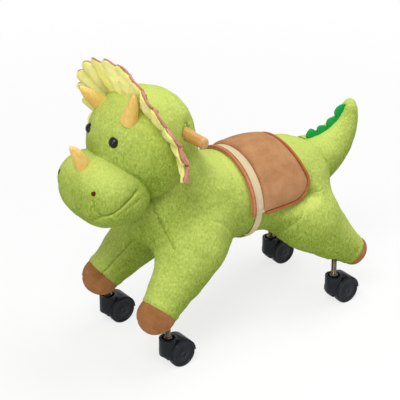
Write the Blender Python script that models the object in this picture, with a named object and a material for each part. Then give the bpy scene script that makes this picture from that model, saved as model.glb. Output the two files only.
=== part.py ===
"""Ride-on dinosaur: a plush three-horned dinosaur on a wooden frame with four twin-wheel casters.

Metres, +Z up. The head looks along -X and the dinosaur's left side faces -Y. The origin is on the floor,
under the middle of the whole object. Run it in Blender, from the text editor or in the background.
"""

import math

import bmesh
import bpy
import numpy as np
from mathutils import Matrix, Vector

# Length over the muzzle and the tail
OVERALL_LENGTH = 0.625

# Gaps
FIT_GAP = 0.0004
RUNNING_GAP = 0.0006
SKIN_GAP = 0.0012
CLOTH_GAP = 0.0008

# Casters
FRONT_CASTER_X = -0.184
REAR_CASTER_X = 0.192
TRACK = 0.187
WHEEL_DIAMETER = 0.050
WHEEL_WIDTH = 0.0120
WHEEL_EDGE_ROUND = 0.0028
WHEEL_DISH_DIAMETER = 0.039
WHEEL_DISH_DEPTH = 0.0014
CASTER_TRAIL = 0.020
HOOD_WEB = 0.0130
HOOD_WALL = 0.0016
HOOD_WHEEL_GAP = 0.0008
HOOD_TOWER_DIAMETER = 0.032
HOOD_TOP = 0.057
HOOD_CHIN = 0.006
HOOD_RECESS_DIAMETER = 0.0235
HOOD_RECESS_DEPTH = 0.009
HOOD_FENDER_END = 188.0
HOOD_WEB_END = 200.0
HOOD_CHIN_START = 215.0
HOOD_CHIN_END = 345.0
HOOD_CHIN_STEPS = 6
AXLE_DIAMETER = 0.006
WHEEL_FACE_WALL = 0.003
STEM_DIAMETER = 0.010
STEM_SOCKET_DEPTH = 0.016
COLLAR_ACROSS_FLATS = 0.0145
COLLAR_HEIGHT = 0.011
COLLAR_SIDES = 6

# Threaded inserts in the feet of the leg posts
INSERT_DIAMETER = 0.014
INSERT_LENGTH = 0.022
INSERT_FLANGE_DIAMETER = 0.022
INSERT_FLANGE = 0.0016
FRONT_FOOT_HEIGHT = 0.114
REAR_FOOT_HEIGHT = 0.110

# Wooden frame
SEAT_BOARD_THICKNESS = 0.012
SEAT_BOARD_WIDTH = 0.096
SEAT_BOARD_TOP = 0.281
SEAT_BOARD_FRONT = 0.031
SEAT_BOARD_REAR = 0.030
SEAT_BOARD_CORNER = 0.018
RAIL_SECTION = 0.024
RAIL_LENGTH = 0.096
FRONT_RAIL_X = -0.072
REAR_RAIL_X = 0.112
POST_SECTION = 0.024
POST_FOOT_DIAMETER = 0.030
POST_FOOT_HEIGHT = 0.028
NECK_POST_X = -0.125
NECK_POST_LENGTH_WISE = 0.044
NECK_POST_THICKNESS = 0.024
NECK_POST_ABOVE_HANDLE = 0.022
NECK_POST_STEPS = 8

# Handle
HANDLE_DIAMETER = 0.020
HANDLE_LENGTH = 0.244
HANDLE_HEIGHT = 0.4193
HANDLE_END_ROUND = 0.006

# Torso
TORSO_FRONT = -0.196
TORSO_REAR = 0.236
TORSO_HEIGHT = 0.2433
TORSO_HALF_HEIGHT = 0.0809
TORSO_HALF_WIDTH = 0.087
TORSO_FULLNESS = 2.9
TORSO_NECK_RISE = 0.012

# Neck with its rounded hump
NECK_TOP = 0.4756
NECK_BASE = 0.2545
NECK_X = -0.127
NECK_LEAN = -0.004
NECK_HALF_LENGTH = 0.056
NECK_HALF_WIDTH = 0.072
NECK_FULLNESS = 2.7

# Head
SKULL_X = -0.175
SKULL_HEIGHT = 0.3917
SKULL_HALF_LENGTH = 0.088
SKULL_HALF_WIDTH = 0.092
SKULL_HALF_HEIGHT = 0.1003
MUZZLE_HEIGHT = 0.3303
MUZZLE_HALF_LENGTH = 0.066
MUZZLE_X = MUZZLE_HALF_LENGTH - OVERALL_LENGTH / 2
MUZZLE_HALF_WIDTH = 0.083
MUZZLE_HALF_HEIGHT = 0.0645
MUZZLE_FULLNESS = 2.3

# Eyes and horns, placed on the head's own surface
EYE_DIAMETER = 0.0205
EYE_OUT = 0.0065
EYE_SIDE = 0.0368
EYE_RISE = 0.0335
EYE_RINGS = 6
BROW_HORN_LENGTH = 0.054
BROW_HORN_DIAMETER = 0.029
BROW_HORN_SIDE = 0.043
BROW_HORN_RISE = 0.0708
LEFT_HORN_SPREAD = 24.0
LEFT_HORN_FORWARD = 5.0
RIGHT_HORN_SPREAD = 2.0
RIGHT_HORN_FORWARD = 45.0
NOSE_HORN_LENGTH = 0.045
NOSE_HORN_DIAMETER = 0.028
NOSE_HORN_FORWARD = 30.0
NOSE_HORN_RISE = 0.052
HORN_SINK = 0.008
HORN_FULLNESS = 2.6
HORN_TAPER = 0.35

# Frill
FRILL_LOBES = 14
FRILL_SPAN = 214.0
FRILL_HEIGHT = 0.405
FRILL_INNER_X = -0.162
FRILL_INNER_RADIUS = 0.0855
FRILL_INNER_TILT = 29.0
FRILL_OUTER_X = -0.179
FRILL_HALF_WIDTH = 0.1490
FRILL_TOP = 0.5497
FRILL_OUTER_TILT = 16.0
FRILL_SCALLOP = 0.012
FRILL_LOBE_FULLNESS = 0.75
FRILL_PUFF = 0.0055
FRILL_EDGE_SHARE = 0.78
FRILL_STEPS = 4
FRILL_RINGS = 5
FRILL_CROWD = 0.85
FRILL_CUP = 0.012
FRILL_FRONT_THICKNESS = 0.0060
FRILL_BACK_THICKNESS = 0.0050
FRILL_ROLL = 0.0038

# Legs
FRONT_HIP = (-0.072, 0.058, 0.222)
FRONT_ANKLE = (-0.197, 0.085, 0.110)
FRONT_HIP_RADIUS = 0.058
FRONT_ANKLE_RADIUS = 0.0335
FRONT_LEG_BOW = 0.0
FRONT_HOOF_LENGTH = 0.042
REAR_HIP = (0.126, 0.056, 0.198)
REAR_ANKLE = (0.240, 0.088, 0.0928)
REAR_HIP_RADIUS = 0.066
REAR_ANKLE_RADIUS = 0.0275
REAR_LEG_BOW = -0.004
REAR_HOOF_LENGTH = 0.024
LEG_SWELL_SHARE = 0.03
LEG_ROUND_SHARE = 0.28
HOOF_SWELL_SHARE = 0.03
HOOF_FULLNESS = 2.4
HOOF_RINGS = 6
STEM_HOLE_DIAMETER = 0.0135

# Tail and its felt spikes
TAIL_ROOT = (0.180, 0.2494)
TAIL_BEND = (OVERALL_LENGTH / 2 - 0.0275, 0.2545)
TAIL_TIP = (OVERALL_LENGTH / 2 - 0.0111, 0.3518)
TAIL_ROOT_RADIUS = 0.052
TAIL_TIP_RADIUS = 0.0120
TAIL_ROUND_SHARE = 0.10
TAIL_TAPER = 1.2
TAIL_RINGS = 13
TAIL_RING_CROWD = 1.5
SPIKE_COUNT = 4
SPIKE_THICKNESS = 0.005
SPIKE_HEIGHT = 0.0165
SPIKE_STRIP = 0.003
SPIKE_FULLNESS = 0.5
SPIKE_STEPS = 6
SPIKE_FIRST_SHARE = 0.03
SPIKE_LAST_SHARE = 0.94
TAIL_STEP_SHARE = 0.01

# Saddle, its piping and the girth strap
STRAP_WIDTH = 0.018
STRAP_FRONT = 0.009
SADDLE_FRONT = STRAP_FRONT + STRAP_WIDTH + CLOTH_GAP
SADDLE_REAR = 0.116
SADDLE_DROP = 95.0
SADDLE_THICKNESS = 0.0060
SADDLE_CROWN = 0.0040
SADDLE_CORNER = 0.030
SADDLE_CORNER_DROP = 24.0
SADDLE_REAR_BULGE = 0.016
SADDLE_SOFT_SHARE = 0.12
SADDLE_EDGE_SHARE = 0.55
SADDLE_COLUMNS = 21
SADDLE_ROWS = (0.0, 0.06, 0.2, 0.4, 0.6, 0.8, 0.9, 0.96, 1.0)
PIPING_DIAMETER = 0.0055
BAND_WIDTH = 0.009
BAND_THICKNESS = 0.0056
BAND_DROP = 96.0
BAND_STEPS = 33
STRAP_THICKNESS = 0.0022
STRAP_STEPS = 20
BELLY_STRAP_WIDTH = 0.014
BELLY_STRAP_DROP = 96.0
BELLY_STRAP_STEPS = 16
KEEPER_WIDTH = 0.006
KEEPER_THICKNESS = 0.0016
KEEPER_ANGLE = 93.0

# Fineness of the round forms
TORSO_SIDES = 28
TORSO_RINGS = 16
HEAD_SIDES = 24
HEAD_RINGS = 12
LIMB_SIDES = 14
LIMB_RINGS = 8
HORN_SIDES = 8
SMALL_SIDES = 12
WHEEL_SIDES = 20
BAR_SIDES = 16
CORNER_STEPS = 2
HOOD_STEPS = 11
PIPING_SIDES = 6
STEEP = 0.9
SHARP_ANGLE = 40.0
CLOTH_SHARP_ANGLE = 50.0
EDGED_SHARP_ANGLE = 30.0
FLAT_ANGLE = 0.002
MERGE_DISTANCE = 0.00002

CORNERS = (("front_left", -1, -1), ("front_right", -1, 1), ("rear_left", 1, -1), ("rear_right", 1, 1))


def caster_x(end):
    """Where the front or the rear casters stand along the object."""
    return FRONT_CASTER_X if end < 0 else REAR_CASTER_X


def clear_scene():
    """Empties the scene of its objects."""
    for item in list(bpy.data.objects):
        bpy.data.objects.remove(item, do_unlink=True)


def finish(name, colour, roughness, metallic=0.0):
    """Makes a plain material."""
    material = bpy.data.materials.new(name)
    material.use_nodes = True
    shader = material.node_tree.nodes["Principled BSDF"]
    shader.inputs["Base Color"].default_value = (*colour, 1.0)
    shader.inputs["Roughness"].default_value = roughness
    shader.inputs["Metallic"].default_value = metallic
    material.diffuse_color = (*colour, 1.0)
    return material


def finishes():
    """Every material of the object, by name."""
    return {
        "plush": finish("lime_plush", (0.36, 0.52, 0.06), 0.9),
        "frill": finish("frill_velour", (0.66, 0.66, 0.12), 0.85),
        "back": finish("frill_back_cloth", (0.52, 0.20, 0.11), 0.85),
        "horn": finish("horn_plush", (0.88, 0.62, 0.22), 0.85),
        "suede": finish("hoof_suede", (0.42, 0.17, 0.06), 0.8),
        "saddle": finish("saddle_suede", (0.50, 0.26, 0.12), 0.8),
        "piping": finish("piping_suede", (0.42, 0.15, 0.06), 0.8),
        "strap": finish("strap_webbing", (0.82, 0.72, 0.45), 0.8),
        "felt": finish("spike_felt", (0.02, 0.42, 0.10), 0.9),
        "wood": finish("dowel_wood", (0.58, 0.33, 0.12), 0.5),
        "ply": finish("frame_plywood", (0.62, 0.44, 0.24), 0.6),
        "nylon": finish("caster_nylon", (0.03, 0.035, 0.042), 0.38),
        "zinc": finish("zinc_steel", (0.55, 0.55, 0.54), 0.32, 1.0),
        "eye": finish("eye_gloss", (0.01, 0.01, 0.012), 0.08),
    }


def add_object(name, vertices, faces, material=None):
    """Makes a named object from points and faces, with the faces turned outwards."""
    mesh = bpy.data.meshes.new(name)
    mesh.from_pydata([tuple(map(float, v)) for v in vertices], [], [tuple(map(int, f)) for f in faces])
    work = bmesh.new()
    work.from_mesh(mesh)
    bmesh.ops.connect_verts_nonplanar(work, angle_limit=FLAT_ANGLE, faces=work.faces)
    bmesh.ops.recalc_face_normals(work, faces=work.faces)
    work.to_mesh(mesh)
    work.free()
    item = bpy.data.objects.new(name, mesh)
    bpy.context.scene.collection.objects.link(item)
    if material is not None:
        mesh.materials.append(material)
    return item


def smooth(item, angle=SHARP_ANGLE):
    """Shades a form smooth, apart from its sharp edges."""
    item.data.shade_smooth()
    item.data.set_sharp_from_angle(angle=math.radians(angle))
    return item


def as_cutter(item):
    """Marks an object as a tool that is not part of the model."""
    item.hide_render = True
    item.display_type = "WIRE"
    return item


def combine(item, tool, operation="DIFFERENCE"):
    """Cuts an object with a tool, or joins the two, and deletes the tool."""
    as_cutter(tool)
    step = item.modifiers.new("cut", "BOOLEAN")
    step.operation = operation
    step.object = tool
    step.solver = "EXACT"
    view = bpy.context.evaluated_depsgraph_get()
    result = bpy.data.meshes.new_from_object(item.evaluated_get(view))
    item.modifiers.remove(step)
    old = item.data
    item.data = result
    result.name = item.name
    bpy.data.meshes.remove(old)
    bpy.data.objects.remove(tool, do_unlink=True)
    clean(item)
    return item


def clean(item):
    """Merges doubled points and drops faces without area that a cut leaves."""
    work = bmesh.new()
    work.from_mesh(item.data)
    bmesh.ops.remove_doubles(work, verts=work.verts, dist=MERGE_DISTANCE)
    bmesh.ops.dissolve_degenerate(work, edges=work.edges, dist=MERGE_DISTANCE)
    work.to_mesh(item.data)
    work.free()


def loft(rings, flat_start=False, flat_end=False, start=None, end=None):
    """Points and faces of a skin over rings of points, closed by a point or by a flat face at each end."""
    count, sides = rings.shape[:2]
    vertices = list(rings.reshape(-1, 3))
    faces = []
    for i in range(count - 1):
        for j in range(sides):
            k = (j + 1) % sides
            faces.append((i * sides + j, i * sides + k, (i + 1) * sides + k, (i + 1) * sides + j))
    for flat, pole, row in ((flat_start, start, 0), (flat_end, end, count - 1)):
        edge = [row * sides + j for j in range(sides)]
        if flat:
            faces.append(tuple(edge))
            continue
        vertices.append(pole)
        faces.extend((edge[j], edge[(j + 1) % sides], len(vertices) - 1) for j in range(sides))
    return vertices, faces


def loft_round(rings):
    """Points and faces of a skin over rings of points that follow each other round in a closed loop."""
    count, sides = rings.shape[:2]
    faces = []
    for i in range(count):
        k = (i + 1) % count
        for j in range(sides):
            m = (j + 1) % sides
            faces.append((i * sides + j, i * sides + m, k * sides + m, k * sides + j))
    return rings.reshape(-1, 3), faces


def egg(name, centre, half, sides, rings, fullness=2.0, axis=0, drift=None, grow=0.0, material=None):
    """A swelling closed form about a centre: an ellipse in each section, full or lean along its axis.

    Along the axis, at a share t from -1 to 1 of the half length, the section is (1 - |t|^fullness)^(1/2) of
    the middle one. drift moves the section's middle, as a function of t.
    """
    turn = np.arange(sides) * (2 * math.pi / sides)
    t = -np.cos(np.arange(1, rings) * (math.pi / rings))
    size = np.sqrt(1 - np.abs(t) ** fullness)
    order = {0: (0, 1, 2), 2: (2, 0, 1)}[axis]
    reach = [value + grow for value in half]
    points = np.zeros((len(t), sides, 3))
    points[:, :, order[0]] = (t * reach[order[0]])[:, None]
    points[:, :, order[1]] = np.outer(size, np.cos(turn)) * reach[order[1]]
    points[:, :, order[2]] = np.outer(size, np.sin(turn)) * reach[order[2]]
    ends = np.zeros((2, 3))
    ends[:, order[0]] = (-reach[order[0]], reach[order[0]])
    if drift is not None:
        points += np.array([drift(value) for value in t])[:, None, :]
        ends += np.array([drift(-1.0), drift(1.0)])
    points += np.asarray(centre)
    ends += np.asarray(centre)
    vertices, faces = loft(points, start=ends[0], end=ends[1])
    return smooth(add_object(name, vertices, faces, material))


def limb(name, path, radii, sides, flat_start=False, flat_end=False, material=None):
    """A round form along a path, with a radius at each point; its ends are flat or close in a point."""
    path = np.asarray(path, dtype=float)
    ahead = np.gradient(path, axis=0)
    ahead /= np.linalg.norm(ahead, axis=1)[:, None]
    upright = abs(ahead[0][2]) > STEEP
    across = np.cross(ahead, (0.0, 1.0, 0.0) if upright else (0.0, 0.0, 1.0))
    across /= np.linalg.norm(across, axis=1)[:, None]
    above = np.cross(across, ahead)
    turn = np.arange(sides) * (2 * math.pi / sides)
    rings = path[:, None, :] + np.asarray(radii)[:, None, None] * (
        np.cos(turn)[None, :, None] * across[:, None, :] + np.sin(turn)[None, :, None] * above[:, None, :]
    )
    first = 0 if flat_start else 1
    last = len(path) if flat_end else len(path) - 1
    vertices, faces = loft(rings[first:last], flat_start, flat_end, path[0], path[-1])
    return smooth(add_object(name, vertices, faces, material))


def bend(start, middle, end, t):
    """Points of the curve that leaves start towards middle and comes to end from middle."""
    t = np.asarray(t)[:, None]
    return (1 - t) ** 2 * np.asarray(start) + 2 * t * (1 - t) * np.asarray(middle) + t**2 * np.asarray(end)


def round_bar(name, start, end, radius, sides, material=None, end_round=0.0):
    """A straight round bar from one point to another, its ends square or rounded off."""
    start, end = Vector(start), Vector(end)
    length = (end - start).length
    if end_round:
        steps = np.arange(CORNER_STEPS + 1) * (math.pi / 2 / CORNER_STEPS)
        rim = [(end_round * (1 - math.cos(a)), radius - end_round * (1 - math.sin(a))) for a in steps]
        rows = rim + [(length - along, r) for along, r in reversed(rim)]
    else:
        rows = [(0.0, radius), (length, radius)]
    path = [start.lerp(end, along / length) for along, r in rows]
    ahead = (end - start).normalized()
    across = ahead.orthogonal().normalized()
    above = ahead.cross(across)
    turn = [2 * math.pi * j / sides for j in range(sides)]
    spokes = [across * math.cos(a) + above * math.sin(a) for a in turn]
    rings = np.array([[point + spoke * r for spoke in spokes] for point, (along, r) in zip(path, rows)])
    vertices, faces = loft(rings, True, True)
    return smooth(add_object(name, vertices, faces, material))


def box(name, low, high, material=None):
    """A rectangular block between two corners."""
    corners = [(x, y, z) for x in (low[0], high[0]) for y in (low[1], high[1]) for z in (low[2], high[2])]
    faces = ((0, 1, 3, 2), (4, 6, 7, 5), (0, 4, 5, 1), (2, 3, 7, 6), (0, 2, 6, 4), (1, 5, 7, 3))
    return add_object(name, corners, faces, material)


def plate(name, outline, low, high, axis, material=None):
    """A flat piece with an outline, extruded along Y or Z."""
    rings = []
    for level in (low, high):
        if axis == "y":
            rings.append([(a, level, b) for a, b in outline])
        else:
            rings.append([(a, b, level) for a, b in outline])
    vertices, faces = loft(np.array(rings), True, True)
    return add_object(name, vertices, faces, material)


def arc(centre, radius, start, end, steps):
    """Points of an arc, its angles in degrees."""
    return [
        (centre[0] + radius * math.cos(math.radians(a)), centre[1] + radius * math.sin(math.radians(a)))
        for a in np.linspace(start, end, steps + 1)
    ]


def origin_to(item, place):
    """Puts an object's origin on a point without moving its shape."""
    place = Vector(place)
    item.data.transform(Matrix.Translation(-place))
    item.location = place
    return item


def cap_radii(path, radii, start_round, end_round):
    """Radii that close in a round over a share of the length at each end."""
    t = np.linspace(0.0, 1.0, len(path))
    shrink = np.ones(len(path))
    for share, from_end in ((start_round, t), (end_round, 1 - t)):
        if share:
            near = np.clip(from_end / share, 0.0, 1.0)
            shrink *= np.sqrt(1 - (1 - near) ** 2)
    return np.asarray(radii) * shrink


def torso_half_length():
    """Half of the torso's length."""
    return (TORSO_REAR - TORSO_FRONT) / 2


def torso_middle_x():
    """Where the torso is halfway along."""
    return (TORSO_REAR + TORSO_FRONT) / 2


def torso_drift(t):
    """The torso's back rises a little where the neck leaves it."""
    return (0.0, 0.0, TORSO_NECK_RISE * math.sin(math.pi * max(-t, 0.0)) ** 2)


def torso_form(name, grow=0.0, material=None):
    """The stuffed torso, as a barrel with round ends."""
    return egg(
        name,
        (torso_middle_x(), 0.0, TORSO_HEIGHT),
        (torso_half_length(), TORSO_HALF_WIDTH, TORSO_HALF_HEIGHT),
        TORSO_SIDES,
        TORSO_RINGS,
        fullness=TORSO_FULLNESS,
        drift=torso_drift,
        grow=grow,
        material=material,
    )


def torso_skin(x, degrees, out):
    """The point a distance outside the torso, at a place along it and an angle from its top."""
    t = np.clip((x - torso_middle_x()) / torso_half_length(), -0.999, 0.999)
    size = (1 - abs(t) ** TORSO_FULLNESS) ** 0.5
    angle = math.radians(degrees)
    rise = torso_drift(t)[2]
    return (
        x,
        math.sin(angle) * (TORSO_HALF_WIDTH * size + out),
        TORSO_HEIGHT + rise + math.cos(angle) * (TORSO_HALF_HEIGHT * size + out),
    )


def neck_drift(t):
    """The neck leans towards the head as it rises."""
    return (NECK_LEAN * (t + 1) / 2, 0.0, 0.0)


def neck_form(name, grow=0.0, material=None):
    """The neck and the rounded hump behind the frill."""
    return egg(
        name,
        (NECK_X, 0.0, (NECK_TOP + NECK_BASE) / 2),
        (NECK_HALF_LENGTH, NECK_HALF_WIDTH, (NECK_TOP - NECK_BASE) / 2),
        HEAD_SIDES,
        HEAD_RINGS,
        fullness=NECK_FULLNESS,
        axis=2,
        drift=neck_drift,
        grow=grow,
        material=material,
    )


def head_form(name, grow=0.0, material=None):
    """The skull and the rounded muzzle, joined."""
    skull = egg(
        name,
        (SKULL_X, 0.0, SKULL_HEIGHT),
        (SKULL_HALF_LENGTH, SKULL_HALF_WIDTH, SKULL_HALF_HEIGHT),
        HEAD_SIDES,
        HEAD_RINGS,
        axis=2,
        grow=grow,
        material=material,
    )
    muzzle = egg(
        "muzzle",
        (MUZZLE_X, 0.0, MUZZLE_HEIGHT),
        (MUZZLE_HALF_LENGTH, MUZZLE_HALF_WIDTH, MUZZLE_HALF_HEIGHT),
        HEAD_SIDES,
        HEAD_RINGS,
        fullness=MUZZLE_FULLNESS,
        axis=2,
        grow=grow,
    )
    return smooth(combine(skull, muzzle, "UNION"))


def skull_front(side, rise):
    """The point on the front of the skull at a distance to the side and above its middle."""
    share = 1 - (side / SKULL_HALF_WIDTH) ** 2 - (rise / SKULL_HALF_HEIGHT) ** 2
    return Vector((SKULL_X - SKULL_HALF_LENGTH * math.sqrt(max(share, 0.0)), side, SKULL_HEIGHT + rise))


def skull_normal(point):
    """The direction that points straight out of the skull there."""
    return Vector((
        (point.x - SKULL_X) / SKULL_HALF_LENGTH**2,
        point.y / SKULL_HALF_WIDTH**2,
        (point.z - SKULL_HEIGHT) / SKULL_HALF_HEIGHT**2,
    )).normalized()


def horn(name, base, direction, length, diameter, material):
    """A stuffed horn: full near its base and rounded at its tip."""
    t = (1 - np.cos(np.linspace(0.0, 1.0, LIMB_RINGS) * math.pi)) / 2
    start = Vector(base) - direction * HORN_SINK
    path = np.array([start + direction * (length + HORN_SINK) * s for s in t])
    radii = diameter / 2 * np.sqrt(1 - t**HORN_FULLNESS) * (1 - HORN_TAPER * t)
    return limb(name, path, radii, HORN_SIDES, flat_start=True, material=material)


def brow_horns(looks):
    """A horn over each eye, spread outwards, the right one leaning forwards."""
    horns = []
    for name, side, spread, forward in (
        ("brow_horn_left", -1, LEFT_HORN_SPREAD, LEFT_HORN_FORWARD),
        ("brow_horn_right", 1, RIGHT_HORN_SPREAD, RIGHT_HORN_FORWARD),
    ):
        base = skull_front(side * BROW_HORN_SIDE, BROW_HORN_RISE)
        lean = Vector((-math.tan(math.radians(forward)), side * math.tan(math.radians(spread)), 1.0))
        lean.normalize()
        horns.append(horn(name, base, lean, BROW_HORN_LENGTH, BROW_HORN_DIAMETER, looks["horn"]))
    return horns


def nose_horn(looks):
    """The single horn on the bridge of the muzzle."""
    rise = NOSE_HORN_RISE
    back = math.sqrt(1 - min((rise / MUZZLE_HALF_HEIGHT) ** MUZZLE_FULLNESS, 1.0))
    base = Vector((MUZZLE_X - MUZZLE_HALF_LENGTH * back, 0.0, MUZZLE_HEIGHT + rise))
    forward = math.radians(NOSE_HORN_FORWARD)
    direction = Vector((-math.sin(forward), 0.0, math.cos(forward)))
    return horn("nose_horn", base, direction, NOSE_HORN_LENGTH, NOSE_HORN_DIAMETER, looks["horn"])


def eyes(looks):
    """Two domed eyes, each set a little into the skull."""
    found = []
    for name, side in (("eye_left", -1), ("eye_right", 1)):
        point = skull_front(side * EYE_SIDE, EYE_RISE)
        out = skull_normal(point)
        base = point - out * (EYE_DIAMETER / 2 - EYE_OUT)
        turn = np.linspace(0.0, math.pi / 2, EYE_RINGS)
        path = np.array([base + out * (EYE_DIAMETER / 2 * math.sin(a)) for a in turn])
        radii = EYE_DIAMETER / 2 * np.cos(turn)
        found.append(limb(name, path, radii, SMALL_SIDES, flat_start=True, material=looks["eye"]))
    return found


def frill_section(degrees):
    """The frill's section at an angle from the top: a function of a share and a depth, and its way outwards.

    The share runs from the inner seam to the scalloped edge, which is drawn in between two lobes. The depth
    is the distance behind the front cloth's face, which puffs up in the middle of each lobe.
    """
    angle = math.radians(degrees)
    tilt = math.radians(FRILL_INNER_TILT)
    inner = Vector((
        FRILL_INNER_X - FRILL_INNER_RADIUS * math.cos(angle) * math.sin(tilt),
        FRILL_INNER_RADIUS * math.sin(angle),
        FRILL_HEIGHT + FRILL_INNER_RADIUS * math.cos(angle) * math.cos(tilt),
    ))
    tilt = math.radians(FRILL_OUTER_TILT)
    rise = (FRILL_TOP - FRILL_ROLL - FRILL_HEIGHT) * math.cos(angle)
    outer = Vector((
        FRILL_OUTER_X - rise * math.tan(tilt) - FRILL_CUP * abs(math.sin(2 * angle)),
        (FRILL_HALF_WIDTH - FRILL_ROLL) * math.sin(angle),
        FRILL_HEIGHT + rise,
    ))
    outward = (outer - inner).normalized()
    lobe = abs(math.sin(math.pi * (degrees + FRILL_SPAN / 2) / (FRILL_SPAN / FRILL_LOBES)))
    outer = outer - outward * (FRILL_SCALLOP * (1 - lobe**FRILL_LOBE_FULLNESS))
    forward = outward.cross(Vector((0.0, math.cos(angle), -math.sin(angle)))).normalized()

    def place(share, depth):
        puff = FRILL_PUFF * lobe * math.sin(math.pi * min(share, FRILL_EDGE_SHARE))
        return inner.lerp(outer, share) + forward * (puff - depth)

    return place, outward


def frill_skin(name, section, material):
    """A skin through the sections of the frill at every step round it.

    Its faces are split alike in both cloths, so that they lie against each other without crossing.
    """
    steps = FRILL_LOBES * FRILL_STEPS
    rings = [[tuple(p) for p in section(d)] for d in np.linspace(-FRILL_SPAN / 2, FRILL_SPAN / 2, steps + 1)]
    vertices, faces = loft(np.array(rings), True, True)
    split = [part for f in faces[:-2] for part in ((f[0], f[1], f[2]), (f[0], f[2], f[3]))]
    return smooth(add_object(name, vertices, split + faces[-2:], material), CLOTH_SHARP_ANGLE)


def frill_shares():
    """Where the rings of the frill lie between its seam and its edge."""
    return [float(s) for s in np.linspace(0.0, 1.0, FRILL_RINGS) ** FRILL_CROWD]


def frill_front(name, material):
    """The velvety front cloth of the frill."""

    def section(degrees):
        place, outward = frill_section(degrees)
        front = [place(s, 0.0) for s in frill_shares()]
        return front + [place(s, FRILL_FRONT_THICKNESS) for s in reversed(frill_shares())]

    return frill_skin(name, section, material)


def frill_back(name, material):
    """The back cloth of the frill, rolled forwards over the front cloth's edge."""
    near = FRILL_FRONT_THICKNESS + CLOTH_GAP
    far = near + FRILL_BACK_THICKNESS

    def section(degrees):
        place, outward = frill_section(degrees)
        behind = [place(s, far) for s in frill_shares()]
        roll = [place(1.0, depth) + outward * out for out, depth in (
            (FRILL_ROLL, far - FRILL_ROLL / 2), (FRILL_ROLL, 0.0), (CLOTH_GAP, 0.0), (CLOTH_GAP, near),
        )]
        return behind + roll + [place(s, near) for s in reversed(frill_shares())]

    return frill_skin(name, section, material)


def leg_path(hip, ankle, bow, side, count):
    """A leg's middle line from hip to ankle, bowed up or down in the middle."""
    start = Vector((hip[0], side * hip[1], hip[2]))
    end = Vector((ankle[0], side * ankle[1], ankle[2]))
    middle = (start + end) / 2 + Vector((0.0, side * abs(bow), 2 * bow))
    return bend(start, middle, end, np.linspace(0.0, 1.0, count))


def leg_and_hoof(name, side, hip, ankle, bow, hip_radius, ankle_radius, hoof_length, looks):
    """A leg that swells from its ankle to its hip, and the hoof that closes its end."""
    path = leg_path(hip, ankle, bow, side, LIMB_RINGS + 3)
    t = np.linspace(0.0, 1.0, len(path))
    radii = hip_radius + (ankle_radius - hip_radius) * t
    radii = radii * (1 + LEG_SWELL_SHARE * np.sin(math.pi * t))
    radii = cap_radii(path, radii, LEG_ROUND_SHARE, 0.0)
    leg = limb(f"{name}_leg", path, radii, LIMB_SIDES, flat_end=True, material=looks["plush"])
    ahead = path[-1] - path[-2]
    ahead /= np.linalg.norm(ahead)
    t = np.sin(np.linspace(0.0, math.pi / 2, HOOF_RINGS))
    hoof_path = path[-1] + np.outer(FIT_GAP + t * hoof_length, ahead)
    hoof_radii = ankle_radius * np.sqrt(1 - t**HOOF_FULLNESS) * (1 + HOOF_SWELL_SHARE * np.sin(math.pi * t))
    hoof = limb(f"{name}_hoof", hoof_path, hoof_radii, LIMB_SIDES, flat_start=True, material=looks["suede"])
    return leg, hoof


def tail_point(t):
    """Points of the tail's middle line."""
    start, middle, end = ((x, 0.0, z) for x, z in (TAIL_ROOT, TAIL_BEND, TAIL_TIP))
    return bend(start, middle, end, t)


def tail_radius(t):
    """The tail's radius along it, closing in a round at the tip."""
    t = np.asarray(t)
    radius = TAIL_ROOT_RADIUS + (TAIL_TIP_RADIUS - TAIL_ROOT_RADIUS) * t**TAIL_TAPER
    near = np.clip((1 - t) / TAIL_ROUND_SHARE, 0.0, 1.0)
    return radius * np.sqrt(1 - (1 - near) ** 2)


def tail_form(name, grow=0.0, material=None):
    """The stuffed tail, which curves up to a round tip."""
    t = 1 - (1 - np.linspace(0.0, 1.0, TAIL_RINGS)) ** TAIL_RING_CROWD
    return limb(name, tail_point(t), tail_radius(t) + grow, LIMB_SIDES, flat_start=True, material=material)


def tail_spikes(looks):
    """A strip of felt on the tail's top line, its edge cut in rounded spikes."""
    top = []
    bottom = []
    for share in np.linspace(0.0, 1.0, SPIKE_COUNT * SPIKE_STEPS + 1):
        t = SPIKE_FIRST_SHARE + (SPIKE_LAST_SHARE - SPIKE_FIRST_SHARE) * share
        before, here, after = tail_point(np.array([t - TAIL_STEP_SHARE, t, t + TAIL_STEP_SHARE]))
        ahead = (after - before) / np.linalg.norm(after - before)
        up = np.array((-ahead[2], 0.0, ahead[0]))
        wave = abs(math.sin(math.pi * SPIKE_COUNT * share)) ** SPIKE_FULLNESS
        skin = here + up * float(tail_radius(t))
        crest = skin + up * (SPIKE_STRIP + (SPIKE_HEIGHT - SPIKE_STRIP) * wave)
        root = skin - up * SPIKE_STRIP
        top.append((crest[0], crest[2]))
        bottom.append((root[0], root[2]))
    half = SPIKE_THICKNESS / 2
    strip = plate("tail_spikes", top + bottom[::-1], -half, half, "y", looks["felt"])
    combine(strip, tail_form("tool", grow=FIT_GAP))
    return combine(strip, torso_form("tool", grow=FIT_GAP))


def saddle_outline(share):
    """How far down each side the saddle reaches, in degrees, at a share of its length from the front."""
    corner = SADDLE_CORNER / (SADDLE_REAR - SADDLE_FRONT)
    past = max(0.0, (share - (1 - corner)) / corner)
    return SADDLE_DROP - SADDLE_CORNER_DROP * (1 - math.sqrt(max(0.0, 1 - past**2)))


def saddle_reach(share, across):
    """Where along the torso a point of the saddle lies: its rear edge bulges back at the sides."""
    return SADDLE_FRONT + (SADDLE_REAR - SADDLE_FRONT + SADDLE_REAR_BULGE * across**2) * share


def saddle_columns():
    """The places across the saddle where its skin has points, from its left edge to its right one."""
    return np.linspace(-1.0, 1.0, SADDLE_COLUMNS)


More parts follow.
